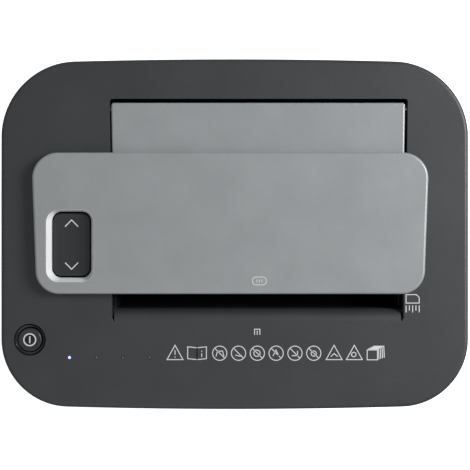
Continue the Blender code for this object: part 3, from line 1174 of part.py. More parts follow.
def build_castor(name, x, y, braked):
    """Stem castor: swivelling fork with its axle, wheel, and a brake pedal on the front ones."""
    cheek = CASTOR_WIDTH / 2 + 1.5 * MM
    axle_y = y - CASTOR_TRAIL
    disc_low = BOARD_BOTTOM - 6 * MM
    swivel = [(disc_low, CASTOR_RADIUS), (BOARD_BOTTOM - FIT, CASTOR_RADIUS),
              (BOARD_BOTTOM - FIT, STEM_RADIUS), (BOARD_BOTTOM + STEM_LENGTH, STEM_RADIUS)]
    fork = turned(f"castor_fork_{name}", swivel, (x, y, 0), "Z", 20)
    pedal_y = axle_y - PEDAL_REACH
    pedal_z = CASTOR_RADIUS + PEDAL_RISE
    low = 0.6 * CASTOR_RADIUS
    side = [(y + 14 * MM, disc_low + 1 * MM), (y + 6 * MM, 2.5 * low), (y - 6 * MM, low),
            (axle_y - 8 * MM, low), (axle_y - 12 * MM, 2 * low), (pedal_y - 4 * MM, pedal_z - 3 * MM),
            (pedal_y - 4 * MM, pedal_z + 4 * MM), (y - 20 * MM, disc_low + 1 * MM)]
    arms = [prism_x("arm_left", side, x - cheek - 2.5 * MM, x - cheek),
            prism_x("arm_right", side, x + cheek, x + cheek + 2.5 * MM)]
    axle = cylinder("axle", (0, axle_y, CASTOR_RADIUS), AXLE_RADIUS, x - cheek - 1 * MM,
                    x + cheek + 1 * MM, "X", 12)
    join(fork, *arms, axle)
    place(fork, BLACK_ABS, (x, y, BOARD_BOTTOM))

    half = CASTOR_WIDTH / 2
    tread = CASTOR_RADIUS
    bore = AXLE_RADIUS + RUNNING_FIT
    profile = [(x - half, bore), (x + half, bore), (x + half, tread - 2 * MM), (x + half - 2 * MM, tread),
               (x - half + 2 * MM, tread), (x - half, tread - 2 * MM)]
    wheel = turned(f"castor_wheel_{name}", profile, (0, axle_y, CASTOR_RADIUS), "X", 20, bored=True)
    place(wheel, RUBBER, (x, axle_y, CASTOR_RADIUS))

    if braked:
        inner = cheek - FIT
        pedal = cylinder(f"castor_brake_{name}", (0, pedal_y, pedal_z), 2.5 * MM,
                         x - inner, x + inner, "X", 12)
        tread_plate = box("tread_plate", (x - inner, pedal_y - 20 * MM, pedal_z - 0.5 * MM),
                          (x + inner, pedal_y, pedal_z + 2.3 * MM))
        join(pedal, tread_plate)
        place(pedal, DARK_ABS, (x, pedal_y, pedal_z))


def build_castors():
    """Four castors, the front pair braked."""
    for name, (x, y) in castor_places().items():
        build_castor(name, x, y, name.startswith("front"))


def main():
    """Build every piece."""
    for leftover in list(bpy.data.objects):
        bpy.data.objects.remove(leftover, do_unlink=True)
    build_top_deck()
    build_rocker()
    build_buttons()
    build_tray()
    build_throat()
    build_lid_panel()
    build_lid_liner()
    build_pressure_plate()
    build_hinge_pins()
    build_cutter_unit()
    build_feed_rollers()
    build_drive()
    build_cabinet()
    build_bin()
    build_castors()


main()
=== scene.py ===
"""Looks of the cabinet paper shredder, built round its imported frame.

Metres, +Z up, the front faces -Y. Every place comes from the frame's nodes or from a
named size; the frame's own parts are never moved.
"""
from __future__ import annotations

import functools
import json
import logging
import math
from dataclasses import dataclass
from enum import Enum
from typing import Callable, Iterable

import bmesh
import bpy
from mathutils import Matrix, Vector

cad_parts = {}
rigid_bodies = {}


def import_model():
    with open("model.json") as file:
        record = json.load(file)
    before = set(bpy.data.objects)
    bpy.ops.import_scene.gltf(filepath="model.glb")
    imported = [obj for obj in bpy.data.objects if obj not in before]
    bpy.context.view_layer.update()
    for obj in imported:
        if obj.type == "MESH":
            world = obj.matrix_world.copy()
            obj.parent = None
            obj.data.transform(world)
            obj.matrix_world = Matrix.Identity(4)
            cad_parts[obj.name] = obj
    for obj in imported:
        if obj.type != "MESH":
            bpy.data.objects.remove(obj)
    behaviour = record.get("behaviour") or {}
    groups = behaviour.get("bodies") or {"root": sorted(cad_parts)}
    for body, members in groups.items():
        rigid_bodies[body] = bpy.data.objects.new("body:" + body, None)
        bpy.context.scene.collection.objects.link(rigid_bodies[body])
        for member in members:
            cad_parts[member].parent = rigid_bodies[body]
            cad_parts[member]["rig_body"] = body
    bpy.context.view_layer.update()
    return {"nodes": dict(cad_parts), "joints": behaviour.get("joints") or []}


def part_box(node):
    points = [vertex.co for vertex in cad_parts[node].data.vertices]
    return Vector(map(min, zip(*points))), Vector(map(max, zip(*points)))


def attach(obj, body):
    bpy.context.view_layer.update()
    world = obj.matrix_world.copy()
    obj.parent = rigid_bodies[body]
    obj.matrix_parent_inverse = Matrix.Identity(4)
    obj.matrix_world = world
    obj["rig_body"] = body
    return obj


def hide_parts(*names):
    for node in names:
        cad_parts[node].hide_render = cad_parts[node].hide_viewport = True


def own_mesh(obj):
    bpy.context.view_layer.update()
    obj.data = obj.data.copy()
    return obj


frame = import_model()

LOG = logging.getLogger("paper_shredder")
MM = 0.001
OVERCUT = 1.0 * MM      # how far a cutter runs past the face it opens
CORNER_STEPS = 20       # points on a large rounded corner
EDGE_STEPS = 24         # points along a bowed edge
PRINT = 0.1 * MM        # thickness of printed marks

Point = tuple[float, ...]
Outline = list[tuple[float, float]]


# ---------------------------------------------------------------- nodes and colours
@functools.lru_cache(maxsize=None)
def node_box(node: str) -> tuple[Vector, Vector]:
    """Lowest and highest corner of a frame node, measured once."""
    low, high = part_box(node)
    return Vector(low), Vector(high)


def linear(hex_code: str) -> tuple[float, float, float, float]:
    """Turn an sRGB hex colour into a linear RGBA value.

    Args:
        hex_code: six hex digits, with or without a leading #.

    Returns:
        Linear red, green and blue with an alpha of 1.
    """
    digits = hex_code.lstrip("#")
    channels = [int(digits[place:place + 2], 16) / 255 for place in (0, 2, 4)]
    return (*[c / 12.92 if c <= 0.04045 else ((c + 0.055) / 1.055) ** 2.4 for c in channels], 1.0)


def add_node(tree: bpy.types.NodeTree, kind: str, settings: dict | None = None,
             links: dict | None = None) -> bpy.types.Node:
    """Add one node with its settings and its incoming links.

    Args:
        tree: node tree that takes the node.
        kind: the node's type name.
        settings: values by input name, input number or attribute name.
        links: output sockets by input name or number.

    Returns:
        The new node.
    """
    node = tree.nodes.new(kind)
    for name, value in (settings or {}).items():
        if isinstance(name, int) or name in node.inputs:
            node.inputs[name].default_value = value
        else:
            setattr(node, name, value)
    for name, socket in (links or {}).items():
        tree.links.new(socket, node.inputs[name])
    return node


# ---------------------------------------------------------------- finishes
class Grain(Enum):
    """The pattern that a way of making leaves in a surface."""

    NOISE = "ShaderNodeTexNoise"
    CELLS = "ShaderNodeTexVoronoi"


@dataclass(frozen=True)
class Finish:
    """A real material and how its surface was made."""

    name: str = "plain"
    slot: str = "black_abs"
    base: str = "#808080"
    fleck: str = "#888888"
    # Tone and amount of the lighter edges: edge wear on most finishes, a painted highlight on the silver
    # lid.
    wear_and_sheen_tone: str = "#909090"
    roughness: tuple[float, float] = (0.4, 0.5)
    grain_mm: float = 1.0
    grain_run: tuple[float, float, float] = (1.0, 1.0, 1.0)
    grain: Grain = Grain.NOISE
    cloud_mm: float = 70.0
    relief_mm: float = 0.02
    wear_and_sheen: float = 0.0
    wear_and_sheen_mm: float = 1.0
    metallic: float = 0.0
    ior: float = 1.5
    coat: float = 0.0
    transmission: float = 0.0
    glow: float = 0.0

    def material(self) -> bpy.types.Material:
        """Make the material once and hand it out again afterwards.

        Returns:
            The finish's node material.
        """
        found = bpy.data.materials.get(self.name)
        if found:
            return found
        material = bpy.data.materials.new(self.name)
        material.use_nodes = True
        tree = material.node_tree
        shader = tree.nodes["Principled BSDF"]
        fixed = {"Metallic": self.metallic, "Coat Weight": self.coat, "Coat Roughness": 0.15,
                 "Transmission Weight": self.transmission, "Emission Color": linear(self.base),
                 "Emission Strength": self.glow}
        if self.metallic < 0.5:
            fixed["IOR"] = self.ior
        for socket, value in fixed.items():
            shader.inputs[socket].default_value = value
        place = add_node(tree, "ShaderNodeTexCoord").outputs["Object"]
        spread = Vector([run / (self.grain_mm * MM) for run in self.grain_run])
        scaled = add_node(tree, "ShaderNodeMapping", {"Scale": spread}, {"Vector": place})
        grain = add_node(tree, self.grain.value, {"Scale": 1.0}, {"Vector": scaled.outputs["Vector"]})
        height = grain.outputs[0]
        cloud = add_node(tree, "ShaderNodeTexNoise", {"Scale": 1 / (self.cloud_mm * MM), "Detail": 4.0},
                         {"Vector": place})
        both = add_node(tree, "ShaderNodeMath", {"operation": "MULTIPLY_ADD", 1: 0.6},
                        {0: height, 2: cloud.outputs[0]})
        share = add_node(tree, "ShaderNodeMapRange", {"From Min": 0.45, "From Max": 1.15},
                         {"Value": both.outputs[0]})
        tone = add_node(tree, "ShaderNodeMix",
                        {"data_type": "RGBA", 6: linear(self.base), 7: linear(self.fleck)},
                        {0: share.outputs[0]})
        colour = tone.outputs[2]
        # Edges that a Bevel node finds are mixed towards a lighter tone: edge wear on most finishes, and a
        # painted highlight on the silver lid's rounded edges.
        if self.wear_and_sheen:
            true = add_node(tree, "ShaderNodeNewGeometry").outputs["Normal"]
            softened = add_node(tree, "ShaderNodeBevel", {"samples": 4, "Radius": self.wear_and_sheen_mm * MM})
            match = add_node(tree, "ShaderNodeVectorMath", {"operation": "DOT_PRODUCT"},
                             {0: true, 1: softened.outputs[0]})
            wear_and_sheen_mask = add_node(tree, "ShaderNodeMapRange",
                              {"From Min": 0.998, "From Max": 0.9, "To Max": self.wear_and_sheen},
                              {"Value": match.outputs["Value"]})
            wear_and_sheen_tone = add_node(tree, "ShaderNodeMix", {"data_type": "RGBA", 7: linear(self.wear_and_sheen_tone)},
                            {0: wear_and_sheen_mask.outputs[0], 6: colour})
            colour = wear_and_sheen_tone.outputs[2]
        gloss = add_node(tree, "ShaderNodeMapRange",
                         {"To Min": self.roughness[0], "To Max": self.roughness[1]}, {"Value": height})
        relief = add_node(tree, "ShaderNodeBump", {"Strength": 1.0, "Distance": self.relief_mm * MM},
                          {"Height": height})
        tree.links.new(colour, shader.inputs["Base Color"])
        tree.links.new(gloss.outputs[0], shader.inputs["Roughness"])
        tree.links.new(relief.outputs["Normal"], shader.inputs["Normal"])
        return material


@dataclass(frozen=True)
class SparkErodedAbs(Finish):
    """Dark grey ABS moulded in a spark-eroded tool."""

    # Gives an even, dull anthracite with a fine orange-skin grain that softens every reflection. The real
    # grain is about 0.4 mm; it is drawn at 1.6 mm so that it shows.
    name: str = "spark_eroded_abs"
    slot: str = "deck_abs"
    base: str = "#2E3033"
    fleck: str = "#373A3D"
    wear_and_sheen_tone: str = "#505357"
    roughness: tuple[float, float] = (0.42, 0.58)
    grain_mm: float = 1.6
    relief_mm: float = 0.035
    wear_and_sheen: float = 0.35
    ior: float = 1.54


@dataclass(frozen=True)
class PolishedDarkAbs(Finish):
    """The same dark ABS where the tool is polished: key dish and mouth ends."""

    # Gives a crisp, near-white glint of the main light on faces that lean towards it, and black elsewhere.
    name: str = "polished_dark_abs"
    slot: str = "deck_abs"
    base: str = "#1C1D1F"
    fleck: str = "#232527"
    roughness: tuple[float, float] = (0.14, 0.2)
    grain_mm: float = 2.0
    relief_mm: float = 0.004
    coat: float = 0.6


@dataclass(frozen=True)
class SprayedSilverAbs(Finish):
    """ABS moulding sprayed with a satin silver-grey lacquer."""

    # Gives a cool light grey with a soft sheen, a painted highlight that lightens its rounded edges towards
    # pale grey, and a faint cloudiness where the metal flakes lie unevenly.
    name: str = "sprayed_silver_abs"
    slot: str = "lid_abs"
    base: str = "#95989A"
    fleck: str = "#A1A4A6"
    # Painted highlight: the rounded edges are mixed this far towards a pale grey.
    wear_and_sheen_tone: str = "#D2D5D7"
    roughness: tuple[float, float] = (0.36, 0.46)
    grain_mm: float = 1.1
    cloud_mm: float = 45.0
    relief_mm: float = 0.02
    wear_and_sheen: float = 0.8
    wear_and_sheen_mm: float = 1.4
    metallic: float = 0.2
    coat: float = 0.1


@dataclass(frozen=True)
class PaintedHighlightSilverAbs(Finish):
    """The same silver lacquer, lightened to near-white as a painted highlight, on the flared wall round the
    switch window.
    """

    # Gives a bright, smooth band where the flared wall faces the light, made brighter by its near-white
    # painted colour, and a dark one where it faces away.
    name: str = "painted_highlight_silver_abs"
    slot: str = "lid_abs"
    base: str = "#DFE1E2"
    fleck: str = "#E8EAEB"
    roughness: tuple[float, float] = (0.34, 0.4)
    grain_mm: float = 2.0
    relief_mm: float = 0.002
    coat: float = 0.2


@dataclass(frozen=True)
class MatteBlackAbs(Finish):
    """Black ABS with a fine etched texture."""

    # Gives a near-black, slightly dusty surface; handled edges turn a shade paler.
    name: str = "matte_black_abs"
    base: str = "#151617"
    fleck: str = "#1F2022"
    wear_and_sheen_tone: str = "#3A3C3F"
    roughness: tuple[float, float] = (0.5, 0.68)
    grain_mm: float = 1.4
    relief_mm: float = 0.03
    wear_and_sheen: float = 0.3


@dataclass(frozen=True)
class RockerAbs(Finish):
    """Charcoal ABS of the switch keys, moulded smooth."""

    # Gives a slightly silkier, darker grey than the cover, so the scooped key shades from side to side.
    name: str = "rocker_abs"
    base: str = "#26282A"
    fleck: str = "#2D2F32"
    wear_and_sheen_tone: str = "#4C4F53"
    roughness: tuple[float, float] = (0.34, 0.44)
    grain_mm: float = 1.2
    relief_mm: float = 0.008
    wear_and_sheen: float = 0.4


@dataclass(frozen=True)
class PadPrintedInk(Finish):
    """White pad-printed ink."""

    # Gives crisp pale marks that are a little uneven where the ink lies thin over the grain.
    name: str = "pad_printed_ink"
    base: str = "#C9CBCC"
    fleck: str = "#DFE0E1"
    roughness: tuple[float, float] = (0.45, 0.6)
    grain_mm: float = 0.8
    relief_mm: float = 0.004


@dataclass(frozen=True)
class PrintedShade(Finish):
    """Black ink behind the power mark."""

    # Gives the mark a darker ground than the key round it.
    name: str = "printed_shade"
    base: str = "#08090A"
    fleck: str = "#101113"
    grain_mm: float = 0.8
    relief_mm: float = 0.004


@dataclass(frozen=True)
class ClearAcrylic(Finish):
    """Moulded clear acrylic, unlit."""

    # Gives small glassy dots that take the grey of what is behind them.
    name: str = "clear_acrylic"
    slot: str = "clear_plastic"
    base: str = "#9AA0A6"
    fleck: str = "#A8AEB4"
    roughness: tuple[float, float] = (0.08, 0.14)
    grain_mm: float = 2.0
    relief_mm: float = 0.003
    ior: float = 1.49
    transmission: float = 0.7


@dataclass(frozen=True)
class LitAcrylic(Finish):
    """Clear acrylic lens with a blue-white light behind it."""

    # Gives one small lens that glows blue-white.
    name: str = "lit_acrylic"
    slot: str = "clear_plastic"
    base: str = "#B9C8FF"
    fleck: str = "#DDE6FF"
    roughness: tuple[float, float] = (0.1, 0.2)
    grain_mm: float = 1.0
    relief_mm: float = 0.003
    ior: float = 1.49
    glow: float = 1.6


@dataclass(frozen=True)
class LitRim(Finish):
    """Rim of the lit lens, a deeper blue."""

    # Gives the glow a blue edge where the lens meets the dark cover.
    name: str = "lit_rim"
    slot: str = "clear_plastic"
    base: str = "#3A45E0"
    fleck: str = "#4E5AF0"
    roughness: tuple[float, float] = (0.1, 0.2)
    grain_mm: float = 1.0
    relief_mm: float = 0.003
    ior: float = 1.49
    glow: float = 0.9


@dataclass(frozen=True)
class SmokedPolycarbonate(Finish):
    """Smoked polycarbonate, polished mould."""

    # Gives a dark pane with sharp reflections, behind which the bin shows as darkness.
    name: str = "smoked_polycarbonate"
    slot: str = "smoked_plastic"
    base: str = "#2B2F33"
    fleck: str = "#33383C"
    roughness: tuple[float, float] = (0.05, 0.1)
    grain_mm: float = 3.0
    relief_mm: float = 0.002
    ior: float = 1.58
    transmission: float = 0.6


@dataclass(frozen=True)
class TurnedSteel(Finish):
    """Hardened steel, turned and ground."""

    # Gives grey metal with fine rings round the axis, which draw the highlight out along it.
    name: str = "turned_steel"
    slot: str = "steel"
    base: str = "#8C8D8E"
    fleck: str = "#A5A6A6"
    wear_and_sheen_tone: str = "#C4C4C3"
    roughness: tuple[float, float] = (0.22, 0.4)
    grain_mm: float = 0.9
    grain_run: tuple[float, float, float] = (1.0, 0.08, 0.08)
    relief_mm: float = 0.01
    wear_and_sheen: float = 0.5
    metallic: float = 1.0


@dataclass(frozen=True)
class SpringWire(Finish):
    """Drawn spring wire."""

    # Gives bright wire with faint drawing lines.
    name: str = "spring_wire"
    slot: str = "steel"
    base: str = "#9A9B9C"
    fleck: str = "#B2B3B3"
    roughness: tuple[float, float] = (0.2, 0.32)
    grain_mm: float = 0.6
    relief_mm: float = 0.004
    metallic: float = 1.0


@dataclass(frozen=True)
class ZincPlatedSteel(Finish):
    """Pressed steel sheet, zinc plated."""

    # Gives pale metal broken into faint spangles a few millimetres across.
    name: str = "zinc_plated_steel"
    slot: str = "zinc_plate"
    base: str = "#9EA1A0"
    fleck: str = "#B4B7B5"
    wear_and_sheen_tone: str = "#CBCDCB"
    roughness: tuple[float, float] = (0.3, 0.46)
    grain_mm: float = 6.0
    grain: Grain = Grain.CELLS
    relief_mm: float = 0.01
    wear_and_sheen: float = 0.3
    metallic: float = 1.0


@dataclass(frozen=True)
class MouldedNylon(Finish):
    """Natural nylon, moulded."""

    # Gives a waxy off-white with a little mottling.
    name: str = "moulded_nylon"
    slot: str = "nylon"
    base: str = "#CFCABB"
    fleck: str = "#DDD9CC"
    roughness: tuple[float, float] = (0.42, 0.55)
    grain_mm: float = 2.5
    relief_mm: float = 0.01
    ior: float = 1.53


@dataclass(frozen=True)
class MouldedRubber(Finish):
    """Black moulded rubber."""

    # Gives a dull, soft black with a faint dusty bloom.
    name: str = "moulded_rubber"
    slot: str = "rubber"
    base: str = "#141414"
    fleck: str = "#242424"
    wear_and_sheen_tone: str = "#3C3C3B"
    roughness: tuple[float, float] = (0.72, 0.9)
    grain_mm: float = 1.2
    relief_mm: float = 0.05
    wear_and_sheen: float = 0.4
    ior: float = 1.52


@dataclass(frozen=True)
class MelamineBoard(Finish):
    """Chipboard faced with dark melamine paper."""

    # Gives a flat charcoal face with small flecks pressed into it.
    name: str = "melamine_board"
    slot: str = "chipboard"
    base: str = "#26241F"
    fleck: str = "#343129"
    wear_and_sheen_tone: str = "#6A5A44"
    roughness: tuple[float, float] = (0.4, 0.6)
    grain_mm: float = 3.5
    grain: Grain = Grain.CELLS
    relief_mm: float = 0.03
    wear_and_sheen: float = 0.25


@dataclass(frozen=True)
class SolderMask(Finish):
    """Glass-fibre circuit board under green solder mask."""

    # Gives a glossy green with darker runs where copper lies under it.
    name: str = "solder_mask"
    slot: str = "circuit_board"
    base: str = "#0E4A26"
    fleck: str = "#1A6A38"
    roughness: tuple[float, float] = (0.2, 0.35)
    grain_mm: float = 4.0
    grain_run: tuple[float, float, float] = (1.0, 0.25, 1.0)
    relief_mm: float = 0.02


@dataclass(frozen=True)
class StampedBrass(Finish):
    """Brass of the inlet's contact blades, stamped."""

    # Gives warm yellow contacts against the black housing.
    name: str = "stamped_brass"
    slot: str = "steel"
    base: str = "#B58A45"
    fleck: str = "#C99C55"
    roughness: tuple[float, float] = (0.25, 0.4)
    grain_mm: float = 1.0
    relief_mm: float = 0.005
    metallic: float = 1.0


# ---------------------------------------------------------------- outlines
def filleted(corners: list[tuple[float, float]], radii: list[float], steps: int = CORNER_STEPS,
             fills: tuple[int, ...] = (0, 0, 0, 0)) -> Outline:
    """Round the corners of a convex, anticlockwise outline.

    Args:
        corners: sharp corners.
        radii: radius at each corner.
        steps: spans on each arc.
        fills: extra points along the side after each corner.

    Returns:
        The rounded outline.
    """
    count = len(corners)
    arcs: list[Outline] = []
    for index in range(count):
        corner = Vector(corners[index])
        back = (Vector(corners[index - 1]) - corner).normalized()
        ahead = (Vector(corners[(index + 1) % count]) - corner).normalized()
        half = math.acos(max(-1.0, min(1.0, back.dot(ahead)))) / 2
        centre = corner + (back + ahead).normalized() * radii[index] / math.sin(half)
        start = corner + back * radii[index] / math.tan(half) - centre
        arc: Outline = []
        for step in range(steps + 1):
            angle = (math.pi - 2 * half) * step / steps
            arc.append((centre.x + start.x * math.cos(angle) - start.y * math.sin(angle),
                        centre.y + start.x * math.sin(angle) + start.y * math.cos(angle)))
        arcs.append(arc)
    outline: Outline = []
    for index, arc in enumerate(arcs):
        outline += arc
        begin, stop = Vector(arc[-1]), Vector(arcs[(index + 1) % count][0])
        for step in range(1, fills[index] + 1):
            outline.append(tuple(begin.lerp(stop, step / (fills[index] + 1))))
    return outline


def inset_corners(corners: list[tuple[float, float]], distance: float) -> list[tuple[float, float]]:
    """Move each side of a convex, anticlockwise outline inwards by a distance."""
    moved = []
    for index in range(len(corners)):
        corner = Vector(corners[index])
        along_in = (corner - Vector(corners[index - 1])).normalized()
        along_out = (Vector(corners[(index + 1) % len(corners)]) - corner).normalized()
        inward = Vector((-along_out.y, along_out.x))
        bisector = (Vector((-along_in.y, along_in.x)) + inward).normalized()
        moved.append(tuple(corner + bisector * distance / bisector.dot(inward)))
    return moved


def rectangle(low: Iterable[float], high: Iterable[float]) -> list[tuple[float, float]]:
    """Corners of a plan rectangle, anticlockwise from its front left."""
    left, front, *_ = low
    right, rear, *_ = high
    return [(left, front), (right, front), (right, rear), (left, rear)]


def rounded_rectangle(centre: Point, size: Point, radius: float, inset: float = 0.0, steps: int = 12,
                      fill: int = 0) -> Outline:
    """Plan outline of a rectangle with round corners.

    Args:
        centre: middle of the rectangle.
        size: its width and depth.
        radius: radius of the corners.
        inset: how much smaller all round.
        steps: spans across a corner.
        fill: extra points on each side.

    Returns:
        Anticlockwise outline.
    """
    half_x, half_y = size[0] / 2 - inset, size[1] / 2 - inset
    corners = rectangle((centre[0] - half_x, centre[1] - half_y), (centre[0] + half_x, centre[1] + half_y))
    return filleted(corners, [max(radius - inset, 0.1 * MM)] * 4, steps, (fill,) * 4)


# ---------------------------------------------------------------- meshes
def solid(name: str, points: Iterable[Point], faces: Iterable[tuple[int, ...]]) -> bpy.types.Object:
    """Make an object from points and faces, its faces pointing out.

    Args:
        name: name of the piece.
        points: points in the frame's metres.
        faces: point numbers of each face.

    Returns:
        The new object.
    """
    mesh = bpy.data.meshes.new(name)
    mesh.from_pydata([tuple(point) for point in points], [], list(faces))
    shape = bmesh.new()
    shape.from_mesh(mesh)
    bmesh.ops.recalc_face_normals(shape, faces=shape.faces)
    shape.to_mesh(mesh)
    shape.free()
    piece = bpy.data.objects.new(name, mesh)
    bpy.context.scene.collection.objects.link(piece)
    return piece


def loft(name: str, rings: list[list[Point]], closed: bool = False) -> bpy.types.Object:
    """Skin rings of equal point count, with capped ends unless the loft is closed."""
    count = len(rings[0])
    faces: list[tuple[int, ...]] = []
    for row in range(len(rings) if closed else len(rings) - 1):
        base, above = row * count, ((row + 1) % len(rings)) * count
        for index in range(count):
            after = (index + 1) % count
            faces.append((base + index, base + after, above + after, above + index))
    points = [point for ring in rings for point in ring]
    if not closed:
        faces.append(tuple(reversed(range(count))))
        faces.append(tuple(range(len(points) - count, len(points))))
    return solid(name, points, faces)


def level(outline: Outline, z: float) -> list[Point]:
    """Lay a plan outline at a height."""
    return [(x, y, z) for x, y in outline]


def prism(name: str, outline: Outline, low: float, high: float) -> bpy.types.Object:
    """Upright solid of a plan outline."""
    return loft(name, [level(outline, low), level(outline, high)])


def prism_x(name: str, profile: Outline, left: float, right: float) -> bpy.types.Object:
    """Solid of a (y, z) profile, drawn out along X."""
    return loft(name, [[(x, y, z) for y, z in profile] for x in (left, right)])


def box(name: str, low: Iterable[float], high: Iterable[float]) -> bpy.types.Object:
    """Block between two corners, for cutting and joining."""
    low, high = tuple(low), tuple(high)
    return prism(name, rectangle(low, high), low[2], high[2])


def quarter_round(radius: float, steps: int, first: int = 0) -> list[tuple[float, float]]:
    """Cross-section of a rounded edge, from the upright wall to the level top.

    Args:
        radius: radius of the rounding.
        steps: spans across it.
        first: first step that is wanted.

    Returns:
        How far in and how far up each point lies.
    """
    angles = [math.pi / 2 * step / steps for step in range(first, steps + 1)]
    return [(radius * (1 - math.cos(angle)), radius * math.sin(angle)) for angle in angles]


def circle(across: float, up: float, radius: float, steps: int) -> Outline:
    """Points round a circle, in whichever plane the two coordinates span."""
    angles = [2 * math.pi * step / steps for step in range(steps)]
    return [(across + radius * math.cos(angle), up + radius * math.sin(angle)) for angle in angles]


def rounded_top(name: str, outline_at: Callable[[float], Outline], low: float, high: float, radius: float,
                steps: int = 8) -> bpy.types.Object:
    """Upright solid with a rounded top edge; outline_at gives the outline at an inset."""
    rings = [level(outline_at(0.0), low)]
    for inset, rise in quarter_round(radius, steps):
        rings.append(level(outline_at(inset), high - radius + rise))
    return loft(name, rings)


def turned(name: str, profile: Outline, centre: Point, axis: str, steps: int = 48,
           bored: bool = False) -> bpy.types.Object:
    """Turn (place, radius) points about a line along X or Z.

    Args:
        name: name of the piece.
        profile: places along the axis with their radii.
        centre: a point on the axis.
        axis: X or Z.
        steps: spans round the axis.
        bored: whether the profile is a closed loop round a bore.

    Returns:
        The turned solid.
    """
    rings = []
    for place, radius in profile:
        ring = []
        for step in range(steps):
            angle = 2 * math.pi * step / steps
            across, up = radius * math.cos(angle), radius * math.sin(angle)
            point = (place, centre[1] + across, centre[2] + up) if axis == "X" else (
                centre[0] + across, centre[1] + up, place)
            ring.append(point)
        rings.append(ring)
    return loft(name, rings, closed=bored)


def combine(target: bpy.types.Object, tools: Iterable[bpy.types.Object], operation: str) -> bpy.types.Object:
    """Apply Boolean tools to a piece and remove them."""
    tools = list(tools)
    for tool in tools:
        step = target.modifiers.new(tool.name, "BOOLEAN")
        step.solver = "EXACT"
        step.operation = operation
        step.object = tool
    bake(target)
    for tool in tools:
        bpy.data.objects.remove(tool, do_unlink=True)
    return target


def bake(piece: bpy.types.Object) -> None:
    """Apply a piece's modifiers to its mesh."""
    bpy.context.view_layer.update()
    evaluated = piece.evaluated_get(bpy.context.evaluated_depsgraph_get())
    result = bpy.data.meshes.new_from_object(evaluated)
    piece.modifiers.clear()
    piece.data = result


def cut(target: bpy.types.Object, *tools: bpy.types.Object) -> bpy.types.Object:
    """Take tools away from a piece."""
    return combine(target, tools, "DIFFERENCE")


def join(target: bpy.types.Object, *others: bpy.types.Object) -> bpy.types.Object:
    """Add others to a piece."""
    return combine(target, others, "UNION")


def ease(piece: bpy.types.Object, width_mm: float, segments: int = 2,
         angle: float = 40.0) -> bpy.types.Object:
    """Round a piece's sharp edges and shade its faces flat and its curves smooth.

    Args:
        piece: the mesh object.
        width_mm: width of the rounding.
        segments: spans across it.
        angle: edges sharper than this many degrees are rounded.

    Returns:
        The same object.
    """
    if width_mm:
        bevel = piece.modifiers.new("eased_edges", "BEVEL")
        bevel.width = width_mm * MM
        bevel.segments = segments
        bevel.limit_method = "ANGLE"
        bevel.angle_limit = math.radians(angle)
        bevel.use_clamp_overlap = True
        bake(piece)
    piece.data.shade_smooth()
    piece.data.set_sharp_from_angle(angle=math.radians(50))
    even = piece.modifiers.new("even_shading", "WEIGHTED_NORMAL")
    even.keep_sharp = True
    bake(piece)
    return piece


def dress(piece: bpy.types.Object, finish: Finish, body: str, *nodes: str) -> bpy.types.Object:
    """Give a piece its finish, let it ride on a body and stand for frame nodes.

    Args:
        piece: the finished mesh.
        finish: its material.
        body: body that it moves with.
        nodes: frame nodes that it replaces.

    Returns:
        The same object.
    """
    if not piece.data.materials:
        piece.data.materials.append(finish.material())
    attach(piece, body)
    if nodes:
        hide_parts(*nodes)
    LOG.info("%s: %s on %s, %d faces", piece.name, finish.name, body, len(piece.data.polygons))
    return piece


def paint(piece: bpy.types.Object, finish: Finish, chosen: Callable[[Vector, Vector], bool]) -> None:
    """Give some faces of a piece a second finish.

    Args:
        piece: the mesh object, which already has its main material.
        finish: finish of the chosen faces.
        chosen: picks a face by its centre and normal.
    """
    piece.data.materials.append(finish.material())
    for face in piece.data.polygons:
        if chosen(face.center, face.normal):
            face.material_index = len(piece.data.materials) - 1


def body_of(node: str) -> str:
    """Body that a frame node belongs to."""
    return frame["nodes"][node]["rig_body"]


def refined(node: str, finish: Finish, width_mm: float = 0.4, segments: int = 2) -> bpy.types.Object:
    """Copy a frame node with rounded edges and even shading, and let it stand for the node.

    Args:
        node: name of the frame node.
        finish: its material.
        width_mm: width of the rounding.
        segments: spans across it.

    Returns:
        The detailed copy.
    """
    shape = bmesh.new()
    shape.from_mesh(frame["nodes"][node].data)
    bmesh.ops.remove_doubles(shape, verts=shape.verts, dist=0.002 * MM)
    bmesh.ops.dissolve_limit(shape, angle_limit=math.radians(1.0), verts=shape.verts, edges=shape.edges)
    mesh = bpy.data.meshes.new(node + "_fine")
    shape.to_mesh(mesh)
    shape.free()
    piece = bpy.data.objects.new(node + "_fine", mesh)
    bpy.context.scene.collection.objects.link(piece)
    ease(piece, width_mm, segments)
    return dress(piece, finish, body_of(node), node)


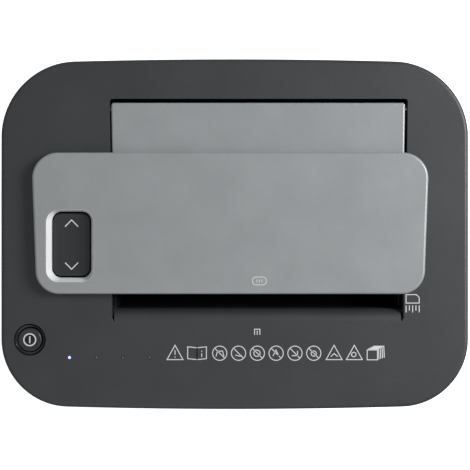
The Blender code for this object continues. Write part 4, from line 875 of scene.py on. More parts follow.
def strokes(name: str, lines: list[Outline], width: float, height_at: Callable[[float, float], float]
            ) -> bpy.types.Object:
    """Thin raised lines with mitred joints, as printed marks.

    Args:
        name: name of the piece.
        lines: plan points of each line; one that ends where it starts is closed.
        width: width of the lines.
        height_at: height of the surface at a plan point.

    Returns:
        One object that holds every line as its own solid.
    """
    points: list[Point] = []
    faces: list[tuple[int, ...]] = []
    for line in lines:
        closed = (Vector(line[0]) - Vector(line[-1])).length < 0.01 * MM
        path = [Vector(point) for point in (line[:-1] if closed else line)]
        start = len(points)
        for index, here in enumerate(path):
            before = path[index - 1] if closed or index else here * 2 - path[1]
            after = path[(index + 1) % len(path)] if closed or index < len(path) - 1 else here * 2 - path[-2]
            along_in, along_out = (here - before).normalized(), (after - here).normalized()
            side = Vector((-along_in.y - along_out.y, along_in.x + along_out.x)).normalized()
            reach = width / 2 / max(0.4, side.dot(Vector((-along_out.y, along_out.x))))
            for sign in (-1, 1):
                spot = here + side * reach * sign
                top = height_at(spot.x, spot.y) + PRINT
                points += [(spot.x, spot.y, top - 2 * PRINT), (spot.x, spot.y, top)]
        spans = len(path) if closed else len(path) - 1
        for span in range(spans):
            a, b = start + 4 * span, start + 4 * ((span + 1) % len(path))
            faces += [(a + 1, a + 3, b + 3, b + 1), (a, b, b + 2, a + 2),
                      (a, a + 1, b + 1, b), (a + 2, b + 2, b + 3, a + 3)]
        if not closed:
            last = start + 4 * (len(path) - 1)
            faces += [(start, start + 2, start + 3, start + 1), (last, last + 1, last + 3, last + 2)]
    return solid(name, points, faces)


def ring_line(x: float, y: float, radius: float, steps: int = 40) -> Outline:
    """Closed round line."""
    angles = [2 * math.pi * step / steps for step in range(steps + 1)]
    return [(x + radius * math.cos(angle), y + radius * math.sin(angle)) for angle in angles]


# ---------------------------------------------------------------- shared plan of the machine
@dataclass(frozen=True)
class Plan:
    """Plan shape of the machine, as wide and deep as the frame's head cover."""

    crown: float = 5 * MM
    rear_corner: float = 78 * MM
    front_corner: float = 70 * MM
    cabinet_inset: float = 4 * MM
    wall: float = 3 * MM

    @property
    def width(self) -> float:
        """Width of the head."""
        low, high = node_box("top_deck")
        return high.x - low.x

    @property
    def depth(self) -> float:
        """Depth of the head over its bowed edges."""
        low, high = node_box("top_deck")
        return high.y - low.y

    def outline(self, inset: float) -> Outline:
        """Rounded outline with bowed front and rear edges, smaller all round by inset."""
        half_x, half_y = self.width / 2 - inset, self.depth / 2 - self.crown - inset
        radii = [self.front_corner - inset] * 2 + [self.rear_corner - inset] * 2
        plain = filleted(rectangle((-half_x, -half_y), (half_x, half_y)), radii, CORNER_STEPS,
                         (EDGE_STEPS, 0, EDGE_STEPS, 0))
        swell = self.crown / (self.depth / 2 - self.crown)
        return [(x, y * (1 + swell * (1 - (2 * x / self.width) ** 2))) for x, y in plain]

    def ring(self, name: str, low: float, high: float) -> bpy.types.Object:
        """Upright cabinet wall that follows the outline."""
        wall = prism(name, self.outline(self.cabinet_inset), low, high)
        space = prism(name + "_space", self.outline(self.cabinet_inset + self.wall),
                      low - OVERCUT, high + OVERCUT)
        return cut(wall, space)


PLAN = Plan()


# ---------------------------------------------------------------- head cover
@dataclass
class HeadCover:
    """Dark cover with its mouth, tray opening, key dish, lamp holes and printed marks."""

    finish: Finish = SparkErodedAbs()
    ink: Finish = PadPrintedInk()
    edge_round: float = 5 * MM
    skin: float = 3.5 * MM
    lip_run: float = 13 * MM
    lip_drop: float = 14 * MM
    block_depth: float = 20 * MM
    path_x: float = 24.5 * MM
    mouth: tuple[float, float] = (-93 * MM, -62 * MM)
    mouth_half: float = 154 * MM
    tray: tuple[float, float] = (-58 * MM, 144.6 * MM)
    tray_half: float = 155 * MM
    tray_more_right: float = 2.4 * MM
    tray_flare: float = 3 * MM
    end_flare: float = 2.4 * MM
    tray_depth: float = 30 * MM
    tray_corner: float = 3 * MM
    pocket_flange: float = 4.3 * MM
    pocket_play: float = 0.6 * MM
    pocket_corner: float = 12 * MM
    pocket_depth: float = 10 * MM
    key_play: float = 0.35 * MM
    key_hole_depth: float = 20 * MM
    key_dish: float = 3.3 * MM
    boss_wall: float = 3.6 * MM
    boss_depth: float = 17 * MM
    lamp_radius: float = 1.9 * MM
    lamp_pitch: float = 28.4 * MM
    lamps: int = 4
    mark_width: float = 0.95 * MM
    mark_row_y: float = -127 * MM
    mark_size: float = 17 * MM

    @property
    def top(self) -> float:
        """Height of the deck."""
        return node_box("top_deck")[1].z

    def lamp_places(self) -> list[tuple[float, float]]:
        """Middles of the lamps, worked out from the light pipe's box."""
        low, high = node_box("light_pipe")
        middle = (low.x + high.x) / 2
        return [(middle + (index - (self.lamps - 1) / 2) * self.lamp_pitch, (low.y + high.y) / 2)
                for index in range(self.lamps)]

    def mouth_cutter(self) -> bpy.types.Object:
        """Mouth whose front lip rolls down into the throat."""
        front, rear = self.mouth
        profile = [(front, self.top + OVERCUT)]
        for step in range(17):
            angle = math.pi / 2 * step / 16
            profile.append((front + self.lip_run * math.sin(angle),
                            self.top - self.lip_drop * (1 - math.cos(angle))))
        bottom = self.top - self.block_depth - OVERCUT
        profile += [(front + self.lip_run, bottom), (rear, bottom), (rear, self.top + OVERCUT)]
        return prism_x("mouth_cutter", profile, self.path_x - self.mouth_half, self.path_x + self.mouth_half)

    def end_flares(self) -> list[bpy.types.Object]:
        """Cutters that roll the mouth's end walls outwards at the deck."""
        cutters = []
        for side in (-1, 1):
            end = self.path_x + side * self.mouth_half
            rings = []
            for y in (self.mouth[0] + 0.4 * MM, self.mouth[0] + 4 * MM, self.mouth[1]):
                reach = self.end_flare if y > self.mouth[0] + 1 * MM else 0.4 * MM
                ring = [(end - side * 1 * MM, y, self.top + OVERCUT)]
                ring.append((end - side * 1 * MM, y, self.top - 3.2 * reach))
                for step in range(9):
                    angle = math.pi / 2 * step / 8
                    ring.append((end + side * reach * (1 - math.cos(angle)), y,
                                 self.top - 3.2 * reach * (1 - math.sin(angle))))
                ring.append((end + side * reach, y, self.top + OVERCUT))
                rings.append(ring)
            cutters.append(loft(f"end_flare_{side}", rings))
        return cutters

    def key_circle(self) -> tuple[float, float, float]:
        """Middle (X, Y) and radius of the power key's hole."""
        low, high = node_box("power_button")
        return (low.x + high.x) / 2, (low.y + high.y) / 2, (high.x - low.x) / 2 + self.key_play

    def mouth_block(self) -> bpy.types.Object:
        """Material round the mouth, below the deck."""
        low = (self.path_x - self.mouth_half - PLAN.wall, self.mouth[0] - PLAN.wall,
               self.top - self.block_depth)
        high = (self.path_x + self.mouth_half + PLAN.wall, self.tray[0], self.top - self.skin + OVERCUT)
        return box("mouth_block", low, high)

    def key_boss(self) -> bpy.types.Object:
        """Round boss that guides the power key."""
        x, y, radius = self.key_circle()
        reach = radius + self.boss_wall
        profile = [(self.top - self.boss_depth, reach), (self.top - self.skin + OVERCUT, reach)]
        return turned("key_boss", profile, (x, y, 0), "Z")

    def tray_cutter(self) -> bpy.types.Object:
        """Opening over the tray, a little wider at its rear."""
        left, right = self.path_x - self.tray_half, self.path_x + self.tray_half + self.tray_more_right
        front, rear = self.tray
        corners = [(left, front), (right, front),
                   (right + self.tray_flare, rear), (left - self.tray_flare, rear)]
        outline = filleted(corners, [self.tray_corner] * 4, 6)
        return prism("tray_hole", outline, self.top - self.tray_depth, self.top + OVERCUT)

    def rocker_cutter(self) -> bpy.types.Object:
        """Opening that the rocker's pocket stands in."""
        low, high = node_box("rocker_housing")
        size = (high.x - low.x - 2 * self.pocket_flange + self.pocket_play,
                high.y - low.y - 2 * self.pocket_flange + self.pocket_play)
        outline = rounded_rectangle(((low.x + high.x) / 2, (low.y + high.y) / 2), size, self.pocket_corner)
        return prism("rocker_hole", outline, self.top - self.pocket_depth, self.top + OVERCUT)

    def key_cutter(self) -> bpy.types.Object:
        """Hole of the power key with a round dish at the deck."""
        x, y, radius = self.key_circle()
        profile = [(self.top - self.key_hole_depth, radius)]
        for step in range(9):
            angle = math.pi / 2 * step / 8
            profile.append((self.top - self.key_dish * math.cos(angle),
                            radius + self.key_dish * math.sin(angle)))
        profile.append((self.top + OVERCUT, radius + self.key_dish))
        return turned("key_dish", profile, (x, y, 0), "Z", 64)

    def lamp_cutters(self) -> list[bpy.types.Object]:
        """Holes that the lamps look out of."""
        profile = [(self.top - self.skin - OVERCUT, self.lamp_radius),
                   (self.top + OVERCUT, self.lamp_radius)]
        return [turned(f"lamp_hole_{index}", profile, (x, y, 0), "Z", 24)
                for index, (x, y) in enumerate(self.lamp_places())]

    def build(self) -> None:
        """Mould the cover."""
        low = node_box("top_deck")[0].z
        cover = rounded_top("head_cover", PLAN.outline, low, self.top, self.edge_round, 10)
        cut(cover, prism("cover_space", PLAN.outline(PLAN.wall), low - OVERCUT, self.top - self.skin))
        join(cover, self.mouth_block(), self.key_boss())
        cut(cover, self.mouth_cutter(), self.tray_cutter(), self.rocker_cutter(), self.key_cutter(),
            *self.end_flares(), *self.lamp_cutters(), *self.vents())
        ease(cover, 0.5)
        dress(cover, self.finish, "base", "top_deck")
        key_x, key_y, key_radius = self.key_circle()

        def polished(centre: Vector, normal: Vector) -> bool:
            """Whether a face is in the key dish or on an end wall of the mouth."""
            reach = math.hypot(centre.x - key_x, centre.y - key_y)
            in_dish = reach < key_radius + self.key_dish + 0.4 * MM and normal.z < 0.98
            at_end = (abs(normal.x) > 0.3 and self.mouth[0] < centre.y < self.mouth[1]
                      and abs(abs(centre.x - self.path_x) - self.mouth_half) < 3 * MM)
            return centre.z > self.top - 18 * MM and (in_dish or at_end)

        paint(cover, PolishedDarkAbs(), polished)

    def vents(self) -> list[bpy.types.Object]:
        """Cutters for the motor's cooling slots in the left side."""
        motor_low, motor_high = node_box("motor")
        middle_y, middle_z = (motor_low.y + motor_high.y) / 2, (motor_low.z + motor_high.z) / 2
        left = -PLAN.width / 2
        slots = []
        for index in range(9):
            y = middle_y + (index - 4) * 8 * MM
            outline = rounded_rectangle((y, middle_z), (3 * MM, 70 * MM), 1.4 * MM, 0.0, 6)
            slots.append(prism_x(f"motor_vent_{index}", outline, left - OVERCUT, left + PLAN.wall + OVERCUT))
        return slots

    def marks(self) -> None:
        """Generic printed symbols in front of the mouth and beside it."""
        y, size = self.mark_row_y, self.mark_size
        lines: list[Outline] = []
        for x in (-63.7 * MM, 106 * MM, 127.6 * MM):
            lines.append([(x, y + size / 2), (x - size / 2, y - size * 0.4), (x + size / 2, y - size * 0.4),
                          (x, y + size / 2)])
        lines.append([(-63.7 * MM, y + 3.2 * MM), (-63.7 * MM, y - 1.6 * MM)])
        lines.append([(-63.7 * MM, y - 3.4 * MM), (-63.7 * MM, y - 4.6 * MM)])
        lines.append([(102.5 * MM, y - 3.6 * MM), (106 * MM, y - 0.4 * MM), (110 * MM, y - 3.6 * MM)])
        lines.append(ring_line(127 * MM, y - 1.4 * MM, 2.4 * MM, 16))
        for index in range(6):
            x = -16 * MM + index * 20.06 * MM
            reach = 7 * MM * math.sqrt(0.5)
            lines.append(ring_line(x, y, 7.6 * MM))
            lines.append([(x - reach, y + reach), (x + reach, y - reach)])
        lines.append([(-20 * MM, y - 3.5 * MM), (-18.5 * MM, y + 2 * MM), (-13 * MM, y + 2.4 * MM),
                      (-11.6 * MM, y - 3 * MM)])
        lines.append([(0.6 * MM, y - 2 * MM), (6.4 * MM, y - 3.4 * MM)])
        lines.append(ring_line(23.7 * MM, y, 3.4 * MM, 16))
        lines.append([(40.8 * MM, y - 3 * MM), (44 * MM, y + 3.4 * MM), (47 * MM, y - 3 * MM)])
        lines.append([(60.8 * MM, y - 2.6 * MM), (67 * MM, y - 2.6 * MM), (67 * MM, y + 2.6 * MM)])
        lines.append(ring_line(84.3 * MM, y - 0.4 * MM, 2.8 * MM, 16))
        lines += self.booklet(-40.2 * MM, y)
        lines += self.sheet_pile(149.3 * MM, y)
        lines += self.shred_symbol(189.8 * MM, -74.5 * MM)
        lines.append([(21.2 * MM, -107.4 * MM), (21.2 * MM, -101.4 * MM), (26.8 * MM, -101.4 * MM),
                      (26.8 * MM, -107.4 * MM)])
        lines.append([(24 * MM, -107.4 * MM), (24 * MM, -103 * MM)])
        marks = strokes("printed_symbols", lines, self.mark_width, lambda x, z: self.top)
        dress(marks, self.ink, "base")

    @staticmethod
    def booklet(x: float, y: float) -> list[Outline]:
        """Open booklet with two pages."""
        half, high, dip = 10 * MM, 6.8 * MM, 1 * MM
        left = [(x, y - high), (x - half, y - high + dip), (x - half, y + high), (x, y + high - dip),
                (x, y - high)]
        right = [(2 * x - px, py) for px, py in left]
        return [left, right, [(x + 5 * MM, y + 2.6 * MM), (x + 5 * MM, y + 1.4 * MM)],
                [(x + 5 * MM, y - 0.2 * MM), (x + 5 * MM, y - 4 * MM)]]

    @staticmethod
    def sheet_pile(x: float, y: float) -> list[Outline]:
        """Pile of sheets seen at an angle."""
        lines = [[(x - 8 * MM, y - 7 * MM), (x + 3 * MM, y - 7 * MM), (x + 3 * MM, y + 3.5 * MM),
                  (x - 8 * MM, y + 3.5 * MM), (x - 8 * MM, y - 7 * MM)]]
        for index in range(4):
            shift = index * 1.9 * MM
            lines.append([(x - 7 * MM + shift, y + 4.6 * MM + shift * 0.5),
                          (x + 4 * MM + shift, y + 4.6 * MM + shift * 0.5),
                          (x + 4.6 * MM + shift, y - 6.4 * MM + shift * 0.3)])
        return lines

    @staticmethod
    def shred_symbol(x: float, y: float) -> list[Outline]:
        """Sheet that turns into strips."""
        half = 7 * MM
        lines = [[(x - half, y + 1 * MM), (x - half, y + 10 * MM), (x + half - 3 * MM, y + 10 * MM),
                  (x + half, y + 7 * MM), (x + half, y + 1 * MM), (x - half, y + 1 * MM)]]
        for index in range(5):
            place = x - half + index * half / 2
            lines.append([(place, y - 1.5 * MM), (place, y - 9 * MM + (index % 2) * 2 * MM)])
        return lines


# ---------------------------------------------------------------- keys and lamps
@dataclass
class Controls:
    """Rocker, power key, lamps and the control board."""

    deck: HeadCover
    key_finish: Finish = RockerAbs()
    ink: Finish = PadPrintedInk()
    scoop: float = 1.5 * MM
    edge: float = 2 * MM
    corner: float = 9 * MM
    mark_width: float = 1.1 * MM
    trunnion_length: float = 3 * MM
    trunnion_radius: float = 2 * MM
    rim_round: float = 1.5 * MM

    def rocker_box(self) -> tuple[Vector, Vector]:
        """Box of the rocker's cap, without its trunnions."""
        low, high = node_box("rocker")
        return low + Vector((self.trunnion_length, 0, 0)), high - Vector((self.trunnion_length, 0, 0))

    def scooped(self, x: float, y: float) -> float:
        """Height of the rocker's scooped top at a plan point."""
        low, high = self.rocker_box()
        across = 2 * (x - (low.x + high.x) / 2) / (high.x - low.x)
        along = 2 * (y - (low.y + high.y) / 2) / (high.y - low.y)
        return high.z - self.scoop * max(0.0, 1 - across ** 2) * max(0.0, 1 - along ** 4)

    def build_rocker(self) -> None:
        """Rocker cap with a scooped top, trunnions and two arrow marks."""
        low, high = self.rocker_box()
        centre = ((low.x + high.x) / 2, (low.y + high.y) / 2)
        size = (high.x - low.x, high.y - low.y)
        rings = [level(rounded_rectangle(centre, size, self.corner, fill=12), low.z)]
        for inset, rise in quarter_round(self.edge, 6):
            rings.append(level(rounded_rectangle(centre, size, self.corner, inset, fill=12),
                               high.z - self.edge + rise))
        outline = rounded_rectangle(centre, size, self.corner, self.edge, fill=12)
        for share in (0.95, 0.88, 0.8, 0.71, 0.61, 0.5, 0.38, 0.25, 0.12, 0.02):
            ring = []
            for x, y in outline:
                inner_x, inner_y = centre[0] + (x - centre[0]) * share, centre[1] + (y - centre[1]) * share
                ring.append((inner_x, inner_y, self.scooped(inner_x, inner_y)))
            rings.append(ring)
        cap = loft("rocker_key", rings)
        full_low, full_high = node_box("rocker")
        pivot = frame_joint("rocker_tilt")
        pin = [(full_low.x, self.trunnion_radius), (full_high.x, self.trunnion_radius)]
        join(cap, turned("trunnion", pin, (0, pivot.y, pivot.z), "X", 24))
        ease(cap, 0.0)
        dress(cap, self.key_finish, "rocker", "rocker")
        reach, rise, place = 6.9 * MM, 7.0 * MM, 26.2 * MM
        arrows = []
        for sign in (1, -1):
            tip = centre[1] + sign * place
            arrows.append([(centre[0] - reach, tip - sign * rise), (centre[0], tip),
                           (centre[0] + reach, tip - sign * rise)])
        lines = [subdivided(line, 8) for line in arrows]
        dress(strokes("rocker_arrows", lines, self.mark_width, self.scooped), self.ink, "rocker")

    def build_power_key(self) -> None:
        """Round key with a rolled rim, a shallow dish and a ring-and-bar mark."""
        low, high = node_box("power_button")
        centre = ((low.x + high.x) / 2, (low.y + high.y) / 2, 0)
        flange = (high.x - low.x) / 2
        radius = flange - 1.05 * MM
        shoulder = high.z - self.rim_round
        profile = [(low.z, flange), (low.z + 2 * MM, flange), (low.z + 2 * MM, radius), (shoulder, radius)]
        profile += [(shoulder + rise, radius - inset) for inset, rise in quarter_round(self.rim_round, 6, 1)]
        profile += [(high.z - 0.35 * MM, radius - 3 * MM), (high.z - 0.55 * MM, radius - 6 * MM),
                    (high.z - 0.6 * MM, 0.5 * MM)]
        key = ease(turned("power_key", profile, centre, "Z", 64), 0.0)
        dress(key, self.key_finish, "power_button", "power_button")
        face = high.z - 0.5 * MM
        shade = [(face - 0.3 * MM, 6 * MM), (face + 0.02 * MM, 6 * MM)]
        ground = turned("power_mark_ground", shade, centre, "Z", 48)
        dress(ease(ground, 0.0), PrintedShade(), "power_button")
        bar = [(centre[0], centre[1] - 3.6 * MM), (centre[0], centre[1] + 3.6 * MM)]
        mark = strokes("power_mark", [ring_line(centre[0], centre[1], 6.3 * MM, 56), bar], 1.4 * MM,
                       lambda x, y: face)
        dress(mark, self.ink, "power_button")

    def build_lamps(self) -> None:
        """Light pipe with four domed lenses, the first one lit."""
        low, high = node_box("light_pipe")
        rail_top = self.deck.top - 7 * MM
        rail = box("light_pipe_clear", low, (high.x, high.y, rail_top))
        dress(ease(rail, 0.4), ClearAcrylic(), "base", "light_pipe")
        radius = 1.35 * MM
        for index, (x, y) in enumerate(self.deck.lamp_places()):
            dome = [(rail_top - 1 * MM, radius), (high.z - 0.6 * MM, radius)]
            for step in range(1, 5):
                angle = math.pi / 2 * step / 5
                dome.append((high.z - 0.6 * MM + 0.6 * MM * math.sin(angle), radius * math.cos(angle)))
            lens = ease(turned(f"lamp_lens_{index + 1}", dome, (x, y, 0), "Z", 24), 0.0)
            dress(lens, LitAcrylic() if index == 0 else ClearAcrylic(), "base")
            if index == 0:
                foot, lip, outer = high.z - 1.2 * MM, high.z - 0.15 * MM, radius + 0.5 * MM
                collar = turned("lamp_rim", [(foot, radius), (lip, radius), (lip, outer), (foot, outer)],
                                (x, y, 0), "Z", 24, bored=True)
                dress(ease(collar, 0.0), LitRim(), "base")

    def build_board(self) -> None:
        """Control board with a few parts on its upper face."""
        board = refined("control_board", SolderMask(), 0.2)
        low, high = node_box("control_board")
        parts = []
        for column in range(5):
            for row in range(2):
                x = low.x + (high.x - low.x) * (0.22 + 0.15 * column)
                y = low.y + (high.y - low.y) * (0.3 + 0.4 * row)
                half = (3.2 - 0.9 * ((column + row) % 3)) * MM
                parts.append(box(f"chip_{column}_{row}", (x - half, y - half * 0.7, high.z - 0.3 * MM),
                                 (x + half, y + half * 0.7, high.z + 1.4 * MM)))
        chips = join(parts[0], *parts[1:])
        chips.name = board.name.replace("_fine", "_parts")
        dress(ease(chips, 0.15), MatteBlackAbs(), "base")

    def build(self) -> None:
        """Build every control."""
        self.build_rocker()
        self.build_power_key()
        self.build_lamps()
        self.build_board()
        refined("rocker_housing", MatteBlackAbs(), 0.3)


def subdivided(line: Outline, parts: int) -> Outline:
    """Divide each leg of a line into equal parts."""
    fine: Outline = []
    for start, stop in zip(line, line[1:]):
        for step in range(parts):
            fine.append(tuple(Vector(start).lerp(Vector(stop), step / parts)))
    fine.append(line[-1])
    return fine


def frame_joint(name: str) -> Vector:
    """Position of a joint in the record."""
    for joint in frame["joints"]:
        if joint["name"] == name:
            return Vector(joint.get("pos_m") or (0, 0, 0))
    raise KeyError(name)


# ---------------------------------------------------------------- lid
@dataclass
class Lid:
    """Silver lid, its dark liner, the sprung pressure plate and the hinge pins."""

    deck: HeadCover
    finish: Finish = SprayedSilverAbs()
    panel: tuple[float, float, float, float] = (-215.2 * MM, -63.3 * MM, 205.7 * MM, 86.3 * MM)
    taper: float = 5.5 * MM
    rear_corner: float = 27 * MM
    front_corner: float = 25 * MM
    lift: float = 1.2 * MM
    skin: float = 3 * MM
    rear_top: float = 1 * MM
    rear_side_gap: tuple[float, float] = (1.6 * MM, 3.0 * MM)
    riser_setback: float = 8 * MM
    window_shift: tuple[float, float] = (-0.3 * MM, -1.4 * MM)
    window_wider: tuple[float, float] = (10.7 * MM, 8.8 * MM)
    window_gap: tuple[float, float] = (2.2 * MM, 3.2 * MM)
    window_corner: tuple[float, float] = (12.8 * MM, 10 * MM)
    lug_radius: float = 6 * MM
    lug_width: float = 8 * MM
    mark_place: tuple[float, float] = (26 * MM, -49.3 * MM)
    mark_size: tuple[float, float] = (14.7 * MM, 8.2 * MM)

    def panel_outline(self, inset: float) -> Outline:
        """Outline of the raised panel, a little wider at the rear."""
        left, front, right, rear = self.panel
        corners = [(left + self.taper, front), (right - self.taper, front), (right, rear), (left, rear)]
        radii = [self.front_corner - inset] * 2 + [self.rear_corner - inset] * 2
        return filleted(inset_corners(corners, inset), radii)

    def window_outline(self, depth: float, wider: float = 0.0) -> Outline:
        """Outline of the window over the rocker.

        Args:
            depth: 0 at the panel's top, 1 at its underside.
            wider: how much wider all round, for the collar.

        Returns:
            Plan outline, flared towards the top and set off to one side there.
        """
        low, high = node_box("rocker")
        cap = (high.x - low.x - 6 * MM, high.y - low.y)
        centre = [(low[axis] + high[axis]) / 2 + self.window_shift[axis] * (1 - depth) for axis in (0, 1)]
        size = [cap[axis] + self.window_wider[axis] * (1 - depth) + self.window_gap[axis] * depth
                for axis in (0, 1)]
        corner = self.window_corner[0] * (1 - depth) + self.window_corner[1] * depth
        return rounded_rectangle(centre, size, corner, -wider, 16)

    def build_panel(self) -> None:
        """Mould the lid: raised panel, rear part, window collar and lugs."""
        top = node_box("lid_panel")[1].z - PRINT
        bottom = self.deck.top + self.lift
        left = self.deck.path_x - self.deck.tray_half - self.deck.tray_flare + self.rear_side_gap[0]
        right = (self.deck.path_x + self.deck.tray_half + self.deck.tray_more_right + self.deck.tray_flare
                 - self.rear_side_gap[1])
        rear_edge = node_box("lid_panel")[1].y
        hinge = frame_joint("lid_hinge")
        riser_y = self.panel[3] - self.riser_setback
        rear_top = self.deck.top + self.rear_top

        panel = rounded_top("lid_moulding", self.panel_outline, bottom, top, 3 * MM, 10)
        cut(panel, prism("panel_space", self.panel_outline(self.skin), bottom - OVERCUT, top - self.skin))

        def rear_outline(inset: float) -> Outline:
            """Outline of the lid's rear part."""
            corners = [(left + 1 * MM, riser_y), (right - 1 * MM, riser_y),
                       (right, rear_edge), (left, rear_edge)]
            return filleted(inset_corners(corners, inset), [3.2 * MM - inset] * 4, 8)

        rear_part = rounded_top("rear_part", rear_outline, rear_top - self.skin, rear_top, 2.2 * MM, 8)
        riser = box("riser", (left + 2 * MM, riser_y + 0.5 * MM, rear_top - self.skin + 0.2 * MM),
                    (right - 2 * MM, self.panel[3] - 3.2 * MM, top - self.skin + 0.5 * MM))
        collar = prism("collar", self.window_outline(0.0, 2.3 * MM), bottom, top - self.skin + 0.5 * MM)
        lugs = []
        for side, lug_left in ((1, left + 1.5 * MM), (-1, right - self.lug_width - 1.5 * MM)):
            profile = [(hinge.y - self.lug_radius, rear_top - 2 * MM)]
            for step in range(17):
                angle = math.pi + math.pi * step / 16
                profile.append((hinge.y + self.lug_radius * math.cos(angle),
                                hinge.z + self.lug_radius * math.sin(angle)))
            profile.append((hinge.y + self.lug_radius, rear_top - 2.5 * MM))
            lugs.append(prism_x(f"lug_{side}", profile, lug_left, lug_left + self.lug_width))
        join(panel, rear_part, riser, collar, *lugs)
        rings = []
        for depth, z in ((1.0, bottom - OVERCUT), (1.0, bottom + 1 * MM), (0.82, bottom + 3 * MM),
                         (0.6, bottom + 5 * MM), (0.36, top - 3.4 * MM), (0.14, top - 1.4 * MM), (0.0, top),
                         (0.0, top + OVERCUT)):
            rings.append(level(self.window_outline(depth), z))
        bore = turned("lug_bore", [(-PLAN.width / 2, 2.8 * MM), (PLAN.width / 2, 2.8 * MM)], hinge, "X", 24)
        cut(panel, loft("lid_window", rings), bore)
        ease(panel, 0.35)
        dress(panel, self.finish, "lid", "lid_panel")
        rocker_low, rocker_high = node_box("rocker")

        def in_window(centre: Vector, normal: Vector) -> bool:
            """Whether a face is on the window's flared wall."""
            return (normal.z < 0.97 and bottom < centre.z < top
                    and rocker_low.y - 6 * MM < centre.y < rocker_high.y + 4 * MM
                    and rocker_low.x - 4 * MM < centre.x < rocker_high.x + 4 * MM)

        # Painted highlight: faces of the window's flared wall take a near-white copy of the lid's lacquer.
        paint(panel, PaintedHighlightSilverAbs(), in_window)
        self.build_mark(top)

    def build_mark(self, top: float) -> None:
        """Small rounded outline with three plain bars, printed near the panel's front edge."""
        x, y = self.mark_place
        outline = rounded_rectangle((x, y), self.mark_size, self.mark_size[1] / 2.2, 0.0, 8)
        bars = [[(x + shift * MM, y - 1.6 * MM), (x + shift * MM, y + 1.6 * MM)] for shift in (-2.6, 0, 2.6)]
        mark = strokes("lid_mark", [outline + outline[:1], *bars], 0.9 * MM, lambda px, py: top)
        dress(mark, PadPrintedInk(), "lid")

    def build_springs(self) -> None:
        """Smooth coil springs of the pressure plate, and the power key's spring."""
        for side in ("left", "right"):
            name = f"pressure_spring_{side}"
            low, high = node_box(name)
            coil = spring(name, low, high, 0.7 * MM, 5.5)
            dress(coil, SpringWire(), body_of(name), name)
            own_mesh(coil)
        low, high = node_box("button_spring")
        coil = spring("button_spring", low, high, 0.6 * MM, 5)
        dress(coil, SpringWire(), body_of("button_spring"), "button_spring")
        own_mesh(coil)

    def build(self) -> None:
        """Build the lid and what hangs in it."""
        self.build_panel()
        refined("lid_liner", MatteBlackAbs(), 0.5)
        refined("pressure_plate", MatteBlackAbs(), 0.6)
        refined("lid_hinge_pin_left", TurnedSteel(), 0.2)
        refined("lid_hinge_pin_right", TurnedSteel(), 0.2)
        self.build_springs()


def spring(name: str, low: Vector, high: Vector, wire: float, turns: float) -> bpy.types.Object:
    """Compression spring with closed ends, filling a node's box.

    Args:
        name: name of the node it stands for.
        low: lowest corner of that node.
        high: highest corner of that node.
        wire: radius of the wire.
        turns: number of turns.

    Returns:
        The coil.
    """
    centre = (low + high) / 2
    radius = (high.x - low.x) / 2 - wire
    rings = []
    total = int(turns * 28)
    for step in range(total + 1):
        share = step / total
        eased = max(0.0, min(1.0, (share - 0.12) / 0.76))
        z = low.z + wire + (high.z - low.z - 2 * wire) * eased
        angle = 2 * math.pi * turns * share
        out = Vector((math.cos(angle), math.sin(angle), 0))
        middle = Vector((centre.x, centre.y, z)) + out * radius
        rings.append([tuple(middle + out * wire * math.cos(turn) + Vector((0, 0, wire * math.sin(turn))))
                      for turn in (2 * math.pi * side / 10 for side in range(10))])
    coil = loft(name + "_coil", rings)
    coil.data.shade_smooth()
    return coil


